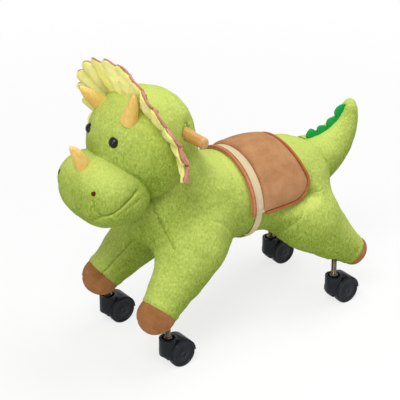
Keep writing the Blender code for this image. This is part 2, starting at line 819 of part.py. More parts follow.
def skin_patch(name, place, low, high, us, vs, material):
    """A patch on the torso: place gives a spot for u and v, low and high how far out its two faces lie."""
    rings = []
    for v in vs:
        under = [torso_skin(*place(u, v), low(u, v)) for u in us]
        over = [torso_skin(*place(u, v), high(u, v)) for u in us]
        rings.append(under + over[::-1])
    vertices, faces = loft(np.array(rings), True, True)
    return smooth(add_object(name, vertices, faces, material), CLOTH_SHARP_ANGLE)


def saddle(looks):
    """The padded saddle over the back, its rear corners rounded and its middle crowned."""

    def place(u, v):
        return saddle_reach(u, abs(v)), v * saddle_outline(u)

    def under(u, v):
        return SKIN_GAP

    def over(u, v):
        ends = min(1.0, u / SADDLE_SOFT_SHARE, (1 - u) / SADDLE_SOFT_SHARE)
        sides = min(1.0, (1 - abs(v)) / SADDLE_SOFT_SHARE)
        crown = SADDLE_CROWN * math.sin(math.pi * u) * math.cos(v * math.pi / 2)
        edge = SADDLE_EDGE_SHARE + (1 - SADDLE_EDGE_SHARE) * ends * sides
        return SKIN_GAP + SADDLE_THICKNESS * edge + crown

    return skin_patch("saddle", place, under, over, SADDLE_ROWS, saddle_columns(), looks["saddle"])


def strap_x():
    """The middle of the girth strap along the torso."""
    return STRAP_FRONT + STRAP_WIDTH / 2


def band_ring(x, degrees, profile):
    """A band's section at an angle, from pairs of a place along the torso and a distance outside it."""
    return [torso_skin(x + along, degrees, out) for along, out in profile]


def girth_strap(looks):
    """The webbing strap in front of the saddle, over the back and on as a narrower strap under the belly."""
    low = SKIN_GAP
    high = low + STRAP_THICKNESS
    over = np.linspace(-KEEPER_ANGLE, KEEPER_ANGLE, STRAP_STEPS + 1)
    under = np.linspace(BELLY_STRAP_DROP, 360.0 - BELLY_STRAP_DROP, BELLY_STRAP_STEPS + 1)
    rings = []
    for width, degrees in ((STRAP_WIDTH, over), (BELLY_STRAP_WIDTH, under)):
        half = width / 2
        profile = ((-half, low), (half, low), (half, high), (-half, high))
        rings.extend(band_ring(strap_x(), d, profile) for d in degrees)
    vertices, faces = loft_round(np.array(rings))
    return smooth(add_object("girth_strap", vertices, faces, looks["strap"]), EDGED_SHARP_ANGLE)


def strap_keeper(name, side, looks):
    """The small stitched seam of cloth over the strap on one side."""
    half = STRAP_WIDTH / 2
    turn = KEEPER_WIDTH / TORSO_HALF_HEIGHT / 2

    def place(u, v):
        return strap_x() + u * half, side * (KEEPER_ANGLE + math.degrees(turn) * v)

    def low(u, v):
        return SKIN_GAP + STRAP_THICKNESS + FIT_GAP

    def high(u, v):
        return low(u, v) + KEEPER_THICKNESS

    return skin_patch(name, place, low, high, (-1.0, 0.0, 1.0), (-1.0, 0.0, 1.0), looks["strap"])


def saddle_band(looks):
    """The double piped band in front of the strap, down each side of the torso."""
    half = BAND_WIDTH / 2
    piped = half / 2
    edge = SKIN_GAP + BAND_THICKNESS / 2
    top = SKIN_GAP + BAND_THICKNESS
    profile = ((-half, SKIN_GAP), (half, SKIN_GAP), (half, edge), (piped, top), (0.0, edge), (-piped, top),
               (-half, edge))
    middle = STRAP_FRONT - FIT_GAP - half
    rings = [band_ring(middle, d, profile) for d in np.linspace(-BAND_DROP, BAND_DROP, BAND_STEPS)]
    vertices, faces = loft(np.array(rings), True, True)
    return smooth(add_object("saddle_band", vertices, faces, looks["piping"]), EDGED_SHARP_ANGLE)


def saddle_piping(looks):
    """The round piping along the saddle's lower and rear edges, outside them."""
    radius = PIPING_DIAMETER / 2
    start = radius / (SADDLE_REAR - SADDLE_FRONT)
    shares = [start] + [share for share in SADDLE_ROWS if share > start]
    side = [(saddle_reach(share, 1.0), saddle_outline(share)) for share in shares]
    rear = [(saddle_reach(1.0, abs(v)), v * saddle_outline(1.0)) for v in saddle_columns()[1:-1]]
    spots = [(x, -degrees) for x, degrees in side] + rear + side[::-1]
    points = np.array([torso_skin(x, degrees, SKIN_GAP + radius) for x, degrees in spots])
    ahead = np.gradient(points, axis=0)
    out = points * (0.0, 1.0, 1.0) - (0.0, 0.0, TORSO_HEIGHT)
    away = np.cross(ahead, out)
    away /= np.linalg.norm(away, axis=1)[:, None]
    points = points + away * (radius + CLOTH_GAP)
    radii = np.full(len(points), radius)
    return limb("saddle_piping", points, radii, PIPING_SIDES, True, True, looks["piping"])


def caster_hood(name, x, y, looks):
    """The hood over both wheels: a web between them, a fender over them and a tower for the stem."""
    axle = (x + CASTER_TRAIL, WHEEL_DIAMETER / 2)
    wheel = WHEEL_DIAMETER / 2
    inner = wheel + HOOD_WHEEL_GAP
    outer = inner + HOOD_WALL
    half = HOOD_WEB / 2 + RUNNING_GAP + WHEEL_WIDTH - WHEEL_EDGE_ROUND / 2
    fender = arc(axle, outer, 0.0, HOOD_FENDER_END, HOOD_STEPS)
    fender += arc(axle, inner, HOOD_FENDER_END, 0.0, HOOD_STEPS)
    web = arc(axle, outer - FIT_GAP, 0.0, HOOD_WEB_END, HOOD_STEPS)
    web += arc(axle, wheel - HOOD_CHIN, HOOD_CHIN_START, HOOD_CHIN_END, HOOD_CHIN_STEPS)
    hood = plate(name, fender, y - half, y + half, "y", looks["nylon"])
    hood = combine(hood, plate("web", web, y - HOOD_WEB / 2, y + HOOD_WEB / 2, "y"), "UNION")
    tower = round_bar("tower", (x, y, wheel), (x, y, HOOD_TOP), HOOD_TOWER_DIAMETER / 2, BAR_SIDES)
    wells = []
    for side in (-1, 1):
        low = y + side * HOOD_WEB / 2
        high = y + side * (HOOD_WEB / 2 + HOOD_TOWER_DIAMETER)
        wells.append(round_bar("well", (axle[0], low, axle[1]), (axle[0], high, axle[1]), inner, BAR_SIDES))
    for well in wells:
        combine(tower, well)
    hood = combine(hood, tower, "UNION")
    recess_floor = HOOD_TOP - HOOD_RECESS_DEPTH
    above = HOOD_TOP + HOOD_RECESS_DEPTH
    recess = round_bar("recess", (x, y, recess_floor), (x, y, above), HOOD_RECESS_DIAMETER / 2, BAR_SIDES)
    hood = combine(hood, recess)
    socket_floor = recess_floor - STEM_SOCKET_DEPTH - RUNNING_GAP
    socket_radius = STEM_DIAMETER / 2 + RUNNING_GAP
    socket = round_bar("socket", (x, y, socket_floor), (x, y, above), socket_radius, SMALL_SIDES)
    hood = combine(hood, socket)
    near, far = ((axle[0], y + side * HOOD_WEB, axle[1]) for side in (-1, 1))
    bore = round_bar("bore", near, far, AXLE_DIAMETER / 2 + FIT_GAP, SMALL_SIDES)
    return origin_to(smooth(combine(hood, bore)), (x, y, HOOD_TOP))


def wheel_profile():
    """The wheel's outline as distance from its inner face and radius, from the bore's mouth outwards."""
    radius = WHEEL_DIAMETER / 2
    dish = WHEEL_DISH_DIAMETER / 2
    bore = AXLE_DIAMETER / 2 + RUNNING_GAP
    bend_middle = (WHEEL_WIDTH - WHEEL_EDGE_ROUND, radius - WHEEL_EDGE_ROUND)
    edge = arc(bend_middle, WHEEL_EDGE_ROUND, 90.0, 0.0, CORNER_STEPS)
    return [
        (WHEEL_WIDTH - WHEEL_FACE_WALL, 0.0),
        (WHEEL_WIDTH - WHEEL_FACE_WALL, bore),
        (0.0, bore),
        (0.0, radius - WHEEL_EDGE_ROUND / 2),
        (WHEEL_EDGE_ROUND / 2, radius),
        *edge,
        (WHEEL_WIDTH, dish + WHEEL_DISH_DEPTH),
        (WHEEL_WIDTH - WHEEL_DISH_DEPTH, dish),
        (WHEEL_WIDTH - WHEEL_DISH_DEPTH / 2, 0.0),
    ]


def wheel(name, x, y, side, looks):
    """One wheel, turned from its profile, with a dished outer face and a blind bore."""
    rows = wheel_profile()
    turn = np.arange(WHEEL_SIDES) * (2 * math.pi / WHEEL_SIDES)
    middle = (x + CASTER_TRAIL, y + side * (HOOD_WEB / 2 + RUNNING_GAP), WHEEL_DIAMETER / 2)
    rings = np.array([
        [(r * math.cos(a), side * along, r * math.sin(a)) for a in turn] for along, r in rows[1:-1]
    ]) + np.array(middle)
    ends = [np.array(middle) + np.array((0.0, side * rows[k][0], 0.0)) for k in (0, -1)]
    vertices, faces = loft(rings, start=ends[0], end=ends[1])
    return origin_to(smooth(add_object(name, vertices, faces, looks["nylon"])), middle)


def caster_stem(name, x, y, top, looks):
    """The steel stem with its hex collar, which seats in the hood's recess."""
    collar_low = HOOD_TOP - HOOD_RECESS_DEPTH + RUNNING_GAP
    bottom = HOOD_TOP - HOOD_RECESS_DEPTH - STEM_SOCKET_DEPTH
    stem = round_bar(name, (x, y, bottom), (x, y, top), STEM_DIAMETER / 2, SMALL_SIDES, looks["zinc"])
    across = COLLAR_ACROSS_FLATS / 2 / math.cos(math.pi / COLLAR_SIDES)
    collar = round_bar("collar", (x, y, collar_low), (x, y, collar_low + COLLAR_HEIGHT), across, COLLAR_SIDES)
    return smooth(combine(stem, collar, "UNION"), EDGED_SHARP_ANGLE)


def insert(name, x, y, foot, looks):
    """The flanged threaded insert in a leg post's foot, which holds a stem."""
    bore = STEM_DIAMETER / 2 + FIT_GAP
    flange = INSERT_FLANGE_DIAMETER / 2
    body = INSERT_DIAMETER / 2
    low = foot - INSERT_FLANGE
    brim = foot - FIT_GAP
    top = foot + INSERT_LENGTH
    profile = ((bore, low), (flange, low), (flange, brim), (body, brim), (body, top), (bore, top))
    turn = np.arange(SMALL_SIDES) * (2 * math.pi / SMALL_SIDES)
    rings = np.array([[(x + r * math.cos(a), y + r * math.sin(a), z) for r, z in profile] for a in turn])
    vertices, faces = loft_round(rings)
    return smooth(add_object(name, vertices, faces, looks["zinc"]), EDGED_SHARP_ANGLE)


def seat_board(name, grow=0.0, material=None):
    """The plywood board along the back, with rounded corners."""
    low_x = NECK_POST_X - SEAT_BOARD_FRONT
    high_x = REAR_RAIL_X + SEAT_BOARD_REAR
    half = SEAT_BOARD_WIDTH / 2
    c = SEAT_BOARD_CORNER
    outline = []
    for cx, cy, start in (
        (high_x - c, half - c, 0.0),
        (low_x + c, half - c, 90.0),
        (low_x + c, c - half, 180.0),
        (high_x - c, c - half, 270.0),
    ):
        outline += arc((cx, cy), c + grow, start, start + 90.0, CORNER_STEPS)
    low = SEAT_BOARD_TOP - SEAT_BOARD_THICKNESS - grow
    return plate(name, outline, low, SEAT_BOARD_TOP + grow, "z", material)


def rail(name, x, grow=0.0, material=None):
    """A cross rail under the seat board."""
    top = SEAT_BOARD_TOP - SEAT_BOARD_THICKNESS - FIT_GAP
    half = RAIL_SECTION / 2 + grow
    reach = RAIL_LENGTH / 2 + grow
    return box(name, (x - half, -reach, top - RAIL_SECTION - grow), (x + half, reach, top + grow), material)


def leg_post(name, x, y, foot, rail_x, side, grow=0.0, drop=0.0, material=None):
    """A square post from a cross rail down to a round upright foot over the caster, in one piece."""
    under_board = SEAT_BOARD_TOP - SEAT_BOARD_THICKNESS
    top = Vector((rail_x, side * (RAIL_LENGTH - POST_SECTION) / 2, under_board - RAIL_SECTION))
    low = Vector((x, y, foot + POST_FOOT_HEIGHT / 2))
    ahead = (top - low).normalized()
    across = Vector((0.0, 1.0, 0.0)).cross(ahead).normalized()
    above = ahead.cross(across)
    half = POST_SECTION / 2 + grow
    end = top + ahead * (RAIL_SECTION / 2 + grow)
    rings = np.array([
        [point + across * (a * half) + above * (b * half) for a, b in ((1, 1), (-1, 1), (-1, -1), (1, -1))]
        for point in (low - ahead * grow, end)
    ])
    vertices, faces = loft(rings, True, True)
    post = add_object(name, vertices, faces, material)
    bottom = (x, y, foot - grow - drop)
    brim = (x, y, foot + POST_FOOT_HEIGHT + grow)
    return combine(post, round_bar("foot", bottom, brim, POST_FOOT_DIAMETER / 2 + grow, BAR_SIDES), "UNION")


def leg_room(x, y, foot, rail_x, side):
    """The space that a leg post, its insert's flange and the stem below it take up in the stuffing."""
    room = leg_post("tool", x, y, foot, rail_x, side, SKIN_GAP, INSERT_FLANGE)
    way = round_bar("way", (x, y, HOOD_TOP), (x, y, foot), STEM_HOLE_DIAMETER / 2, SMALL_SIDES)
    return combine(room, way, "UNION")


def neck_post(name, grow=0.0, material=None):
    """The upright post that carries the handle, with a round top."""
    half = NECK_POST_LENGTH_WISE / 2 + grow
    middle = HANDLE_HEIGHT + NECK_POST_ABOVE_HANDLE - NECK_POST_LENGTH_WISE / 2
    low = SEAT_BOARD_TOP + FIT_GAP - grow
    outline = [(NECK_POST_X - half, low), (NECK_POST_X + half, low)]
    outline += arc((NECK_POST_X, middle), half, 0.0, 180.0, NECK_POST_STEPS)
    thick = NECK_POST_THICKNESS / 2 + grow
    return plate(name, outline, -thick, thick, "y", material)


def handle(name, reach, grow=0.0, end_round=0.0, material=None):
    """The wooden dowel across the neck."""
    start = (NECK_POST_X, -reach, HANDLE_HEIGHT)
    end = (NECK_POST_X, reach, HANDLE_HEIGHT)
    return round_bar(name, start, end, HANDLE_DIAMETER / 2 + grow, BAR_SIDES, material, end_round)


def wooden_frame(looks):
    """The board, its rails, the neck post and the dowel, each clear of the next."""
    ply = looks["ply"]
    seat_board("seat_board", material=ply)
    rail("front_rail", FRONT_RAIL_X, material=ply)
    rail("rear_rail", REAR_RAIL_X, material=ply)
    combine(neck_post("neck_post", material=ply), handle("tool", HANDLE_LENGTH, FIT_GAP))
    handle("handle", HANDLE_LENGTH / 2, end_round=HANDLE_END_ROUND, material=looks["wood"])


def frame_hollow(item):
    """Makes room in a stuffed piece for the wooden frame."""
    combine(item, seat_board("tool", SKIN_GAP))
    combine(item, rail("tool", FRONT_RAIL_X, SKIN_GAP))
    combine(item, rail("tool", REAR_RAIL_X, SKIN_GAP))
    combine(item, neck_post("tool", SKIN_GAP))
    combine(item, handle("tool", HANDLE_LENGTH, FIT_GAP))


def leg_assembly(name, end, side, looks):
    """One leg with its hoof, the post in it and the insert and stem in the post's foot."""
    x, y = caster_x(end), side * TRACK / 2
    if end < 0:
        foot, rail_x, hoof_length = FRONT_FOOT_HEIGHT, FRONT_RAIL_X, FRONT_HOOF_LENGTH
        line = (FRONT_HIP, FRONT_ANKLE, FRONT_LEG_BOW, FRONT_HIP_RADIUS, FRONT_ANKLE_RADIUS)
    else:
        foot, rail_x, hoof_length = REAR_FOOT_HEIGHT, REAR_RAIL_X, REAR_HOOF_LENGTH
        line = (REAR_HIP, REAR_ANKLE, REAR_LEG_BOW, REAR_HIP_RADIUS, REAR_ANKLE_RADIUS)
    leg, hoof = leg_and_hoof(name, side, *line, hoof_length, looks)
    combine(leg, torso_form("tool", grow=FIT_GAP))
    post = leg_post(f"{name}_post", x, y, foot, rail_x, side, material=looks["ply"])
    combine(post, rail("tool", rail_x, FIT_GAP))
    combine(post, seat_board("tool", FIT_GAP))
    socket_top = foot + INSERT_LENGTH + FIT_GAP
    radius = INSERT_DIAMETER / 2 + RUNNING_GAP
    combine(post, round_bar("tool", (x, y, HOOD_TOP), (x, y, socket_top), radius, SMALL_SIDES))
    for soft in (leg, hoof):
        combine(soft, leg_room(x, y, foot, rail_x, side))
    insert(f"{name}_insert", x, y, foot, looks)
    caster_stem(f"{name}_stem", x, y, foot + INSERT_LENGTH, looks)
    return leg_room(x, y, foot, rail_x, side)


def caster(name, end, side, looks):
    """One caster's hood, its two wheels and their axle."""
    x, y = caster_x(end), side * TRACK / 2
    caster_hood(f"{name}_hood", x, y, looks)
    wheel(f"{name}_wheel_outer", x, y, side, looks)
    wheel(f"{name}_wheel_inner", x, y, -side, looks)
    reach = HOOD_WEB / 2 + WHEEL_WIDTH - WHEEL_FACE_WALL - RUNNING_GAP
    middle = Vector((x + CASTER_TRAIL, y, WHEEL_DIAMETER / 2))
    half = Vector((0.0, reach, 0.0))
    round_bar(f"{name}_axle", middle - half, middle + half, AXLE_DIAMETER / 2, SMALL_SIDES, looks["zinc"])


def build():
    """Makes every piece, largest first, and cuts each by the pieces that it meets."""
    clear_scene()
    looks = finishes()
    wooden_frame(looks)
    torso = torso_form("torso", material=looks["plush"])
    neck = neck_form("neck", material=looks["plush"])
    combine(neck, torso_form("tool", grow=FIT_GAP))
    head = head_form("head", material=looks["plush"])
    combine(head, neck_form("tool", grow=FIT_GAP))
    combine(head, torso_form("tool", grow=FIT_GAP))
    combine(tail_form("tail", material=looks["plush"]), torso_form("tool", grow=FIT_GAP))
    tail_spikes(looks)
    for name, end, side in CORNERS:
        combine(torso, leg_assembly(name, end, side, looks))
        caster(name, end, side, looks)
    for soft in (torso, neck, head):
        frame_hollow(soft)
    front = frill_front("frill_front", looks["frill"])
    back = frill_back("frill_back", looks["back"])
    for layer in (front, back):
        combine(layer, neck_form("tool", grow=FIT_GAP))
        combine(layer, head_form("tool", grow=FIT_GAP))
    for item in (*brow_horns(looks), nose_horn(looks), *eyes(looks)):
        combine(item, head_form("tool", grow=FIT_GAP))
    saddle(looks)
    saddle_piping(looks)
    saddle_band(looks)
    girth_strap(looks)
    strap_keeper("keeper_left", -1, looks)
    strap_keeper("keeper_right", 1, looks)


build()
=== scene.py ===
"""Looks of a plush three-horned dinosaur ride-on: stuffed skins, trims, casters and a plain studio.

Everything is in metres, +Z up. The head looks along -X and the dinosaur's left side faces -Y.
"""

from __future__ import annotations

import logging
import math
from dataclasses import dataclass, field
from enum import Enum
from functools import reduce
from typing import Callable, Optional, Sequence

import bmesh
import bpy
import numpy as np
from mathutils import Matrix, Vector


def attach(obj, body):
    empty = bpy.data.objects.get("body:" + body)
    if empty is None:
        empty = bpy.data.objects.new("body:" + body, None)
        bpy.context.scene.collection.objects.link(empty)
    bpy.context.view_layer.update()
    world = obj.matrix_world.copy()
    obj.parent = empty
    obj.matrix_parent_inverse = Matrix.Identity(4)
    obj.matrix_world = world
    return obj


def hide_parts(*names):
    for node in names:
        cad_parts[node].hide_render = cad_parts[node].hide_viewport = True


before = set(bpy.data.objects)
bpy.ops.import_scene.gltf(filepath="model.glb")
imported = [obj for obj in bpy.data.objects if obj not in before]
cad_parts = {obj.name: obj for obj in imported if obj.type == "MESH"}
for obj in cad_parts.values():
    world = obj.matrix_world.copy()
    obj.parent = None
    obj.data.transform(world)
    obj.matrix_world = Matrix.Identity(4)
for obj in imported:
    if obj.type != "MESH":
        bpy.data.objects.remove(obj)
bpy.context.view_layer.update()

LOG = logging.getLogger("dinosaur")
Array = np.ndarray
Colour = tuple[float, float, float, float]
Point = tuple[float, float, float]
Path = Sequence[Sequence[float]]
Reader = Callable[[Array], Array]
Socket = bpy.types.NodeSocket

ROOT = "dinosaur"
SIDES = (("left", -1), ("right", 1))
CORNERS = [
    (f"{end}_{word}", end == "front", side) for end in ("front", "rear") for word, side in SIDES
]  # each corner's name, whether it is at the front, and -1 for the left or 1 for the right
FLOAT, VECTOR = "NodeSocketFloat", "NodeSocketVector"
WHITE = (1.0, 1.0, 1.0, 1.0)
UP = np.array([0.0, 0.0, 1.0])
ACROSS = np.array([0.0, 1.0, 0.0])
WAVES = 28  # the waves in one random relief
SEEK_STEPS = 48  # the steps along a line in which a form is sought
HALVINGS = 26  # how often a reach is halved to find a form's surface
JOIN_STEPS = 8  # how often the move to the soft form is bettered
FAR = 9.0
TINY = 1e-9
PROBE = 1e-5
SNUG = 0.0006  # the gap between a stuffed piece and the one it is pressed on
LUMPS = 3  # the seed of the body's lumps, one for all its pieces, so that the lumps run on
STEM_X = {True: -0.184, False: 0.192}  # the front and the rear stems' place along the toy
STEM_SIDE = 0.0935
STEM_RADIUS = 0.005
DOWEL_X = -0.125
DOWEL_HEIGHT = 0.4193
DOWEL_RADIUS = 0.010


class Grain(Enum):
    """The cloths that the nap finish can show."""

    SUEDE = "suede"
    VELOUR = "velour"
    FELT = "felt"
    WEBBING = "webbing"


# ---- numbers and curves


def unit(vectors: Array) -> Array:
    """Vectors of length one along the given ones."""
    return vectors / np.maximum(np.linalg.norm(vectors, axis=-1, keepdims=True), TINY)


def ease(share: Array) -> Array:
    """A soft step from 0 to 1: three times the square less twice the cube of the share."""
    share = np.clip(share, 0.0, 1.0)
    return share * share * (3 - 2 * share)


def soft_min(first: Array, second: Array, reach: Array | float) -> Array:
    """The lesser of two values, rounded off where they are within a reach of each other."""
    near = np.clip(reach - np.abs(first - second), 0.0, None) / reach
    return np.minimum(first, second) - near * near * reach / 4


def circle(count: int) -> Array:
    """Angles spread evenly over a full turn."""
    return np.arange(count) * (2 * math.pi / count)


def run(line: Array) -> Array:
    """How far along a line each of its points lies."""
    return np.concatenate([[0.0], np.cumsum(np.linalg.norm(np.diff(line, axis=0), axis=1))])


def ripple(points: Array, wavelength: float, seed: int) -> Array:
    """A smooth random relief of about -1 to 1: plane waves of about one wavelength, added up.

    Args:
        points: where to read the relief, in metres.
        wavelength: the distance from crest to crest.
        seed: the number that fixes the waves' headings.

    Returns:
        The relief at each point.
    """
    draw = np.random.default_rng(seed)
    heading = unit(draw.normal(size=(WAVES, 3))) * (2 * math.pi / wavelength)
    heading *= draw.uniform(0.75, 1.35, (WAVES, 1))
    phase = draw.uniform(0.0, 2 * math.pi, WAVES)
    return np.cos(points @ heading.T + phase).sum(-1) / math.sqrt(WAVES)


def curve_through(points: Path, count: int) -> Array:
    """Evenly spaced points of a smooth curve: a cubic between each two points, level with their neighbours.

    Args:
        points: the points that the curve passes.
        count: how many points to return.

    Returns:
        The curve's points, the same distance apart.
    """
    known = np.asarray(points, float)
    known = np.vstack([2 * known[0] - known[1], known, 2 * known[-1] - known[-2]])
    place = np.linspace(0.0, len(points) - 1, count * 6)
    index = np.minimum(place.astype(int), len(points) - 2)
    t = (place - index)[:, None]
    a, b, c, d = (known[index + k] for k in range(4))
    fine = 0.5 * (2 * b + (c - a) * t + (2 * a - 5 * b + 4 * c - d) * t**2 + (3 * b - a - 3 * c + d) * t**3)
    along = run(fine)
    even = np.linspace(0.0, along[-1], count)
    return np.stack([np.interp(even, along, fine[:, k]) for k in range(3)], axis=1)


def bent(t: Array, start: Array, middle: Array, end: Array) -> Array:
    """Points at shares of a curve that leaves its start towards a middle point and comes from there to its end."""
    t = np.asarray(t)[..., None]
    return (1 - t) ** 2 * start + 2 * t * (1 - t) * middle + t**2 * end


def dome(share: Array) -> Array:
    """The height of a quarter circle, which rises from 0 to 1 with the share."""
    return np.sqrt(1 - (1 - np.clip(share, 0.0, 1.0)) ** 2)


def mirrored(points: Path, side: int) -> list[Point]:
    """Points given for the left side, on one side or the other."""
    return [(x, -side * y, z) for x, y, z in points]


def line_length(line: Array) -> float:
    """How long a line of points is."""
    return float(np.linalg.norm(np.diff(line, axis=0), axis=1).sum())


def square_gaps(points: Array, line: Array) -> Array:
    """The square of the distance from each of a list of points to each point of a line."""
    return (points**2).sum(1)[:, None] + (line**2).sum(1)[None, :] - 2 * points @ line.T


def near_line(points: Array, line: Array) -> tuple[Array, Array]:
    """How far each point is from a line of points, and how far along the line its nearest point lies.

    Args:
        points: the points.
        line: closely spaced points of the line.

    Returns:
        The distance from the line and the distance along it, for each point.
    """
    flat = points.reshape(-1, 3)
    square = square_gaps(flat, line)
    nearest = square.argmin(1)
    distance = np.sqrt(np.maximum(square[np.arange(len(flat)), nearest], 0.0))
    along = nearest * (line_length(line) / max(len(line) - 1, 1))
    return distance.reshape(points.shape[:-1]), along.reshape(points.shape[:-1])


# ---- surfaces and meshes


@dataclass
class Skin:
    """A surface on a grid of points: its rows run along it and its columns round it.

    The columns close in a ring. The rows close in a ring too where loop is true, and otherwise the first
    and last ring are each closed by a fan of faces round a middle point.
    """

    points: Array
    loop: bool = False
    start: Optional[Array] = None
    end: Optional[Array] = None
    size: tuple[float, float] = (1.0, 1.0)

    def parts(self) -> tuple[Array, list[Array], list[Array]]:
        """The points, the faces' corner numbers and the corners' places on the flat cloth.

        Returns:
            The points, a list of arrays of corner numbers, and a list of arrays of pattern coordinates.
        """
        rows, columns = self.points.shape[:2]
        a, b = np.meshgrid(np.arange(rows if self.loop else rows - 1), np.arange(columns), indexing="ij")
        a, b = a.ravel(), b.ravel()
        across = np.stack([b, b + 1, b + 1, b], 1)
        along = np.stack([a, a, a + 1, a + 1], 1)
        faces = [along % rows * columns + across % columns]
        scale = np.array([self.size[0] / columns, self.size[1] / max(rows - 1, 1)])
        places = [np.stack([across, along], -1) * scale]
        points = [self.points.reshape(-1, 3)]
        if not self.loop:
            ring = np.arange(columns)
            for row, pole in ((0, self.start), (rows - 1, self.end)):
                middle = self.points[row].mean(0) if pole is None else np.asarray(pole, float)
                tip = np.full(columns, rows * columns + len(points) - 1)
                points.append(middle[None, :])
                corners = np.stack([row * columns + (ring + 1) % columns, row * columns + ring, tip], 1)
                spot = np.stack([ring + 1.0, ring + 0.0, ring + 0.5], 1)
                level = np.full((columns, 3), float(row))
                faces.append(corners if row == 0 else corners[:, [1, 0, 2]])
                places.append(np.stack([spot if row == 0 else spot[:, [1, 0, 2]], level], -1) * scale)
        return np.vstack(points), faces, places


def enclosed(points: Array, faces: list[Array]) -> float:
    """The volume inside closed faces: a sixth of the sum of each triangle's box product.

    Args:
        points: the corners.
        faces: arrays of corner numbers.

    Returns:
        The volume, below zero where the faces point inwards.
    """
    total = 0.0
    for group in faces:
        corners = points[group]
        for k in range(1, group.shape[1] - 1):
            total += np.einsum("ij,ij->", corners[:, 0], np.cross(corners[:, k], corners[:, k + 1]))
    return total / 6


def mesh_of(name: str, skins: Sequence[Skin]) -> bpy.types.Mesh:
    """One smooth mesh of several closed skins, with its faces outwards and a cloth map in metres.

    Args:
        name: the mesh's name.
        skins: the closed surfaces in it.

    Returns:
        The new mesh.
    """
    points, corners, totals, places = [], [], [], []
    count = 0
    for skin in skins:
        own, faces, spots = skin.parts()
        inside_out = enclosed(own, faces) < 0
        for group, spot in zip(faces, spots):
            if inside_out:
                group, spot = group[:, ::-1], spot[:, ::-1]
            corners.append((group + count).ravel())
            totals.append(np.full(len(group), group.shape[1]))
            places.append(spot.reshape(-1, 2))
        points.append(own)
        count += len(own)
    mesh = bpy.data.meshes.new(name)
    mesh.vertices.add(count)
    mesh.vertices.foreach_set("co", np.vstack(points).astype(np.float32).ravel())
    loops, sizes = np.concatenate(corners), np.concatenate(totals)
    mesh.loops.add(len(loops))
    mesh.loops.foreach_set("vertex_index", loops.astype(np.int32))
    mesh.polygons.add(len(sizes))
    mesh.polygons.foreach_set("loop_start", np.concatenate([[0], np.cumsum(sizes)[:-1]]).astype(np.int32))
    mesh.polygons.foreach_set("loop_total", sizes.astype(np.int32))
    mesh.polygons.foreach_set("use_smooth", np.ones(len(sizes), bool))
    cloth = mesh.uv_layers.new(name="cloth")
    cloth.data.foreach_set("uv", np.vstack(places).astype(np.float32).ravel())
    mesh.update(calc_edges=True)
    mesh.validate()
    return mesh


def piece(
    name: str,
    shape: Sequence[Skin] | bpy.types.Mesh,
    finish: str,
    slot: str,
    stands_for: Sequence[str] = (),
    body: str = ROOT,
    sharp: float = 60.0,
    fill: Optional[float] = None,
) -> bpy.types.Object:
    """A named piece of the object, riding on its body.

    Args:
        name: the piece's name.
        shape: the closed surfaces in it, or its mesh.
        finish: its finish.
        slot: not used.
        stands_for: the plain solids that it replaces.
        body: the body that it moves with.
        sharp: the angle between faces, in degrees, past which an edge of closed surfaces shows.
        fill: not used.

    Returns:
        The new object.
    """
    mesh = shape
    if not isinstance(shape, bpy.types.Mesh):
        mesh = mesh_of(name, shape)
        mesh.set_sharp_from_angle(angle=math.radians(sharp))
    mesh.materials.append(LOOKS.get(finish))
    item = bpy.data.objects.new(name, mesh)
    bpy.context.scene.collection.objects.link(item)
    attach(item, body)
    if stands_for:
        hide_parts(*stands_for)
    LOG.info("%s: %d faces", name, len(mesh.polygons))
    return item


def rings_round(line: Array, radii: Array, sides: int, guide: Array = ACROSS) -> Array:
    """Rings of points square to a line: at each of its points a circle of the radius there.

    Args:
        line: the middle line's points.
        radii: the radius at each.
        sides: how many points there are in a ring.
        guide: a direction that is never along the line, one for all points or one for each.

    Returns:
        The rings' points.
    """
    ahead = unit(np.gradient(line, axis=0))
    side = unit(np.cross(ahead, guide))
    above = np.cross(side, ahead)
    turn = circle(sides)[None, :, None]
    spokes = np.cos(turn) * side[:, None, :] + np.sin(turn) * above[:, None, :]
    return line[:, None, :] + spokes * radii[:, None, None]


def tube(line: Array, radius: Array | float, sides: int, outward: Array) -> Skin:
    """A round skin along a line, such as a cord or a thread.

    Args:
        line: the middle line's points.
        radius: one radius, or one for each point.
        sides: how many points there are round it.
        outward: a direction that is never along the line.

    Returns:
        The tube's skin.
    """
    radii = np.broadcast_to(np.asarray(radius, float), (len(line),))
    size = (2 * math.pi * float(np.mean(radii)), line_length(line))
    return Skin(rings_round(line, radii, sides, outward), size=size)


def turned(profile: Array, sides: int, place: Point, axis: int, way: int = 1) -> Skin:
    """A turned skin: a profile of places along an axis and radii, carried round that axis.

    Args:
        profile: rows of a distance along the axis and a radius.
        sides: how many points there are round it.
        place: the axis's start.
        axis: 0, 1 or 2 for X, Y or Z.
        way: 1, or -1 where the profile runs against the axis.

    Returns:
        The turned skin, closed at both ends.
    """
    turn = circle(sides)
    first, second = (axis + 1) % 3, (axis + 2) % 3
    points = np.zeros((len(profile), sides, 3))
    points[..., axis] = way * profile[:, 0][:, None]
    points[..., first] = np.outer(profile[:, 1], np.cos(turn))
    points[..., second] = np.outer(profile[:, 1], np.sin(turn))
    return Skin(points + np.asarray(place, float))


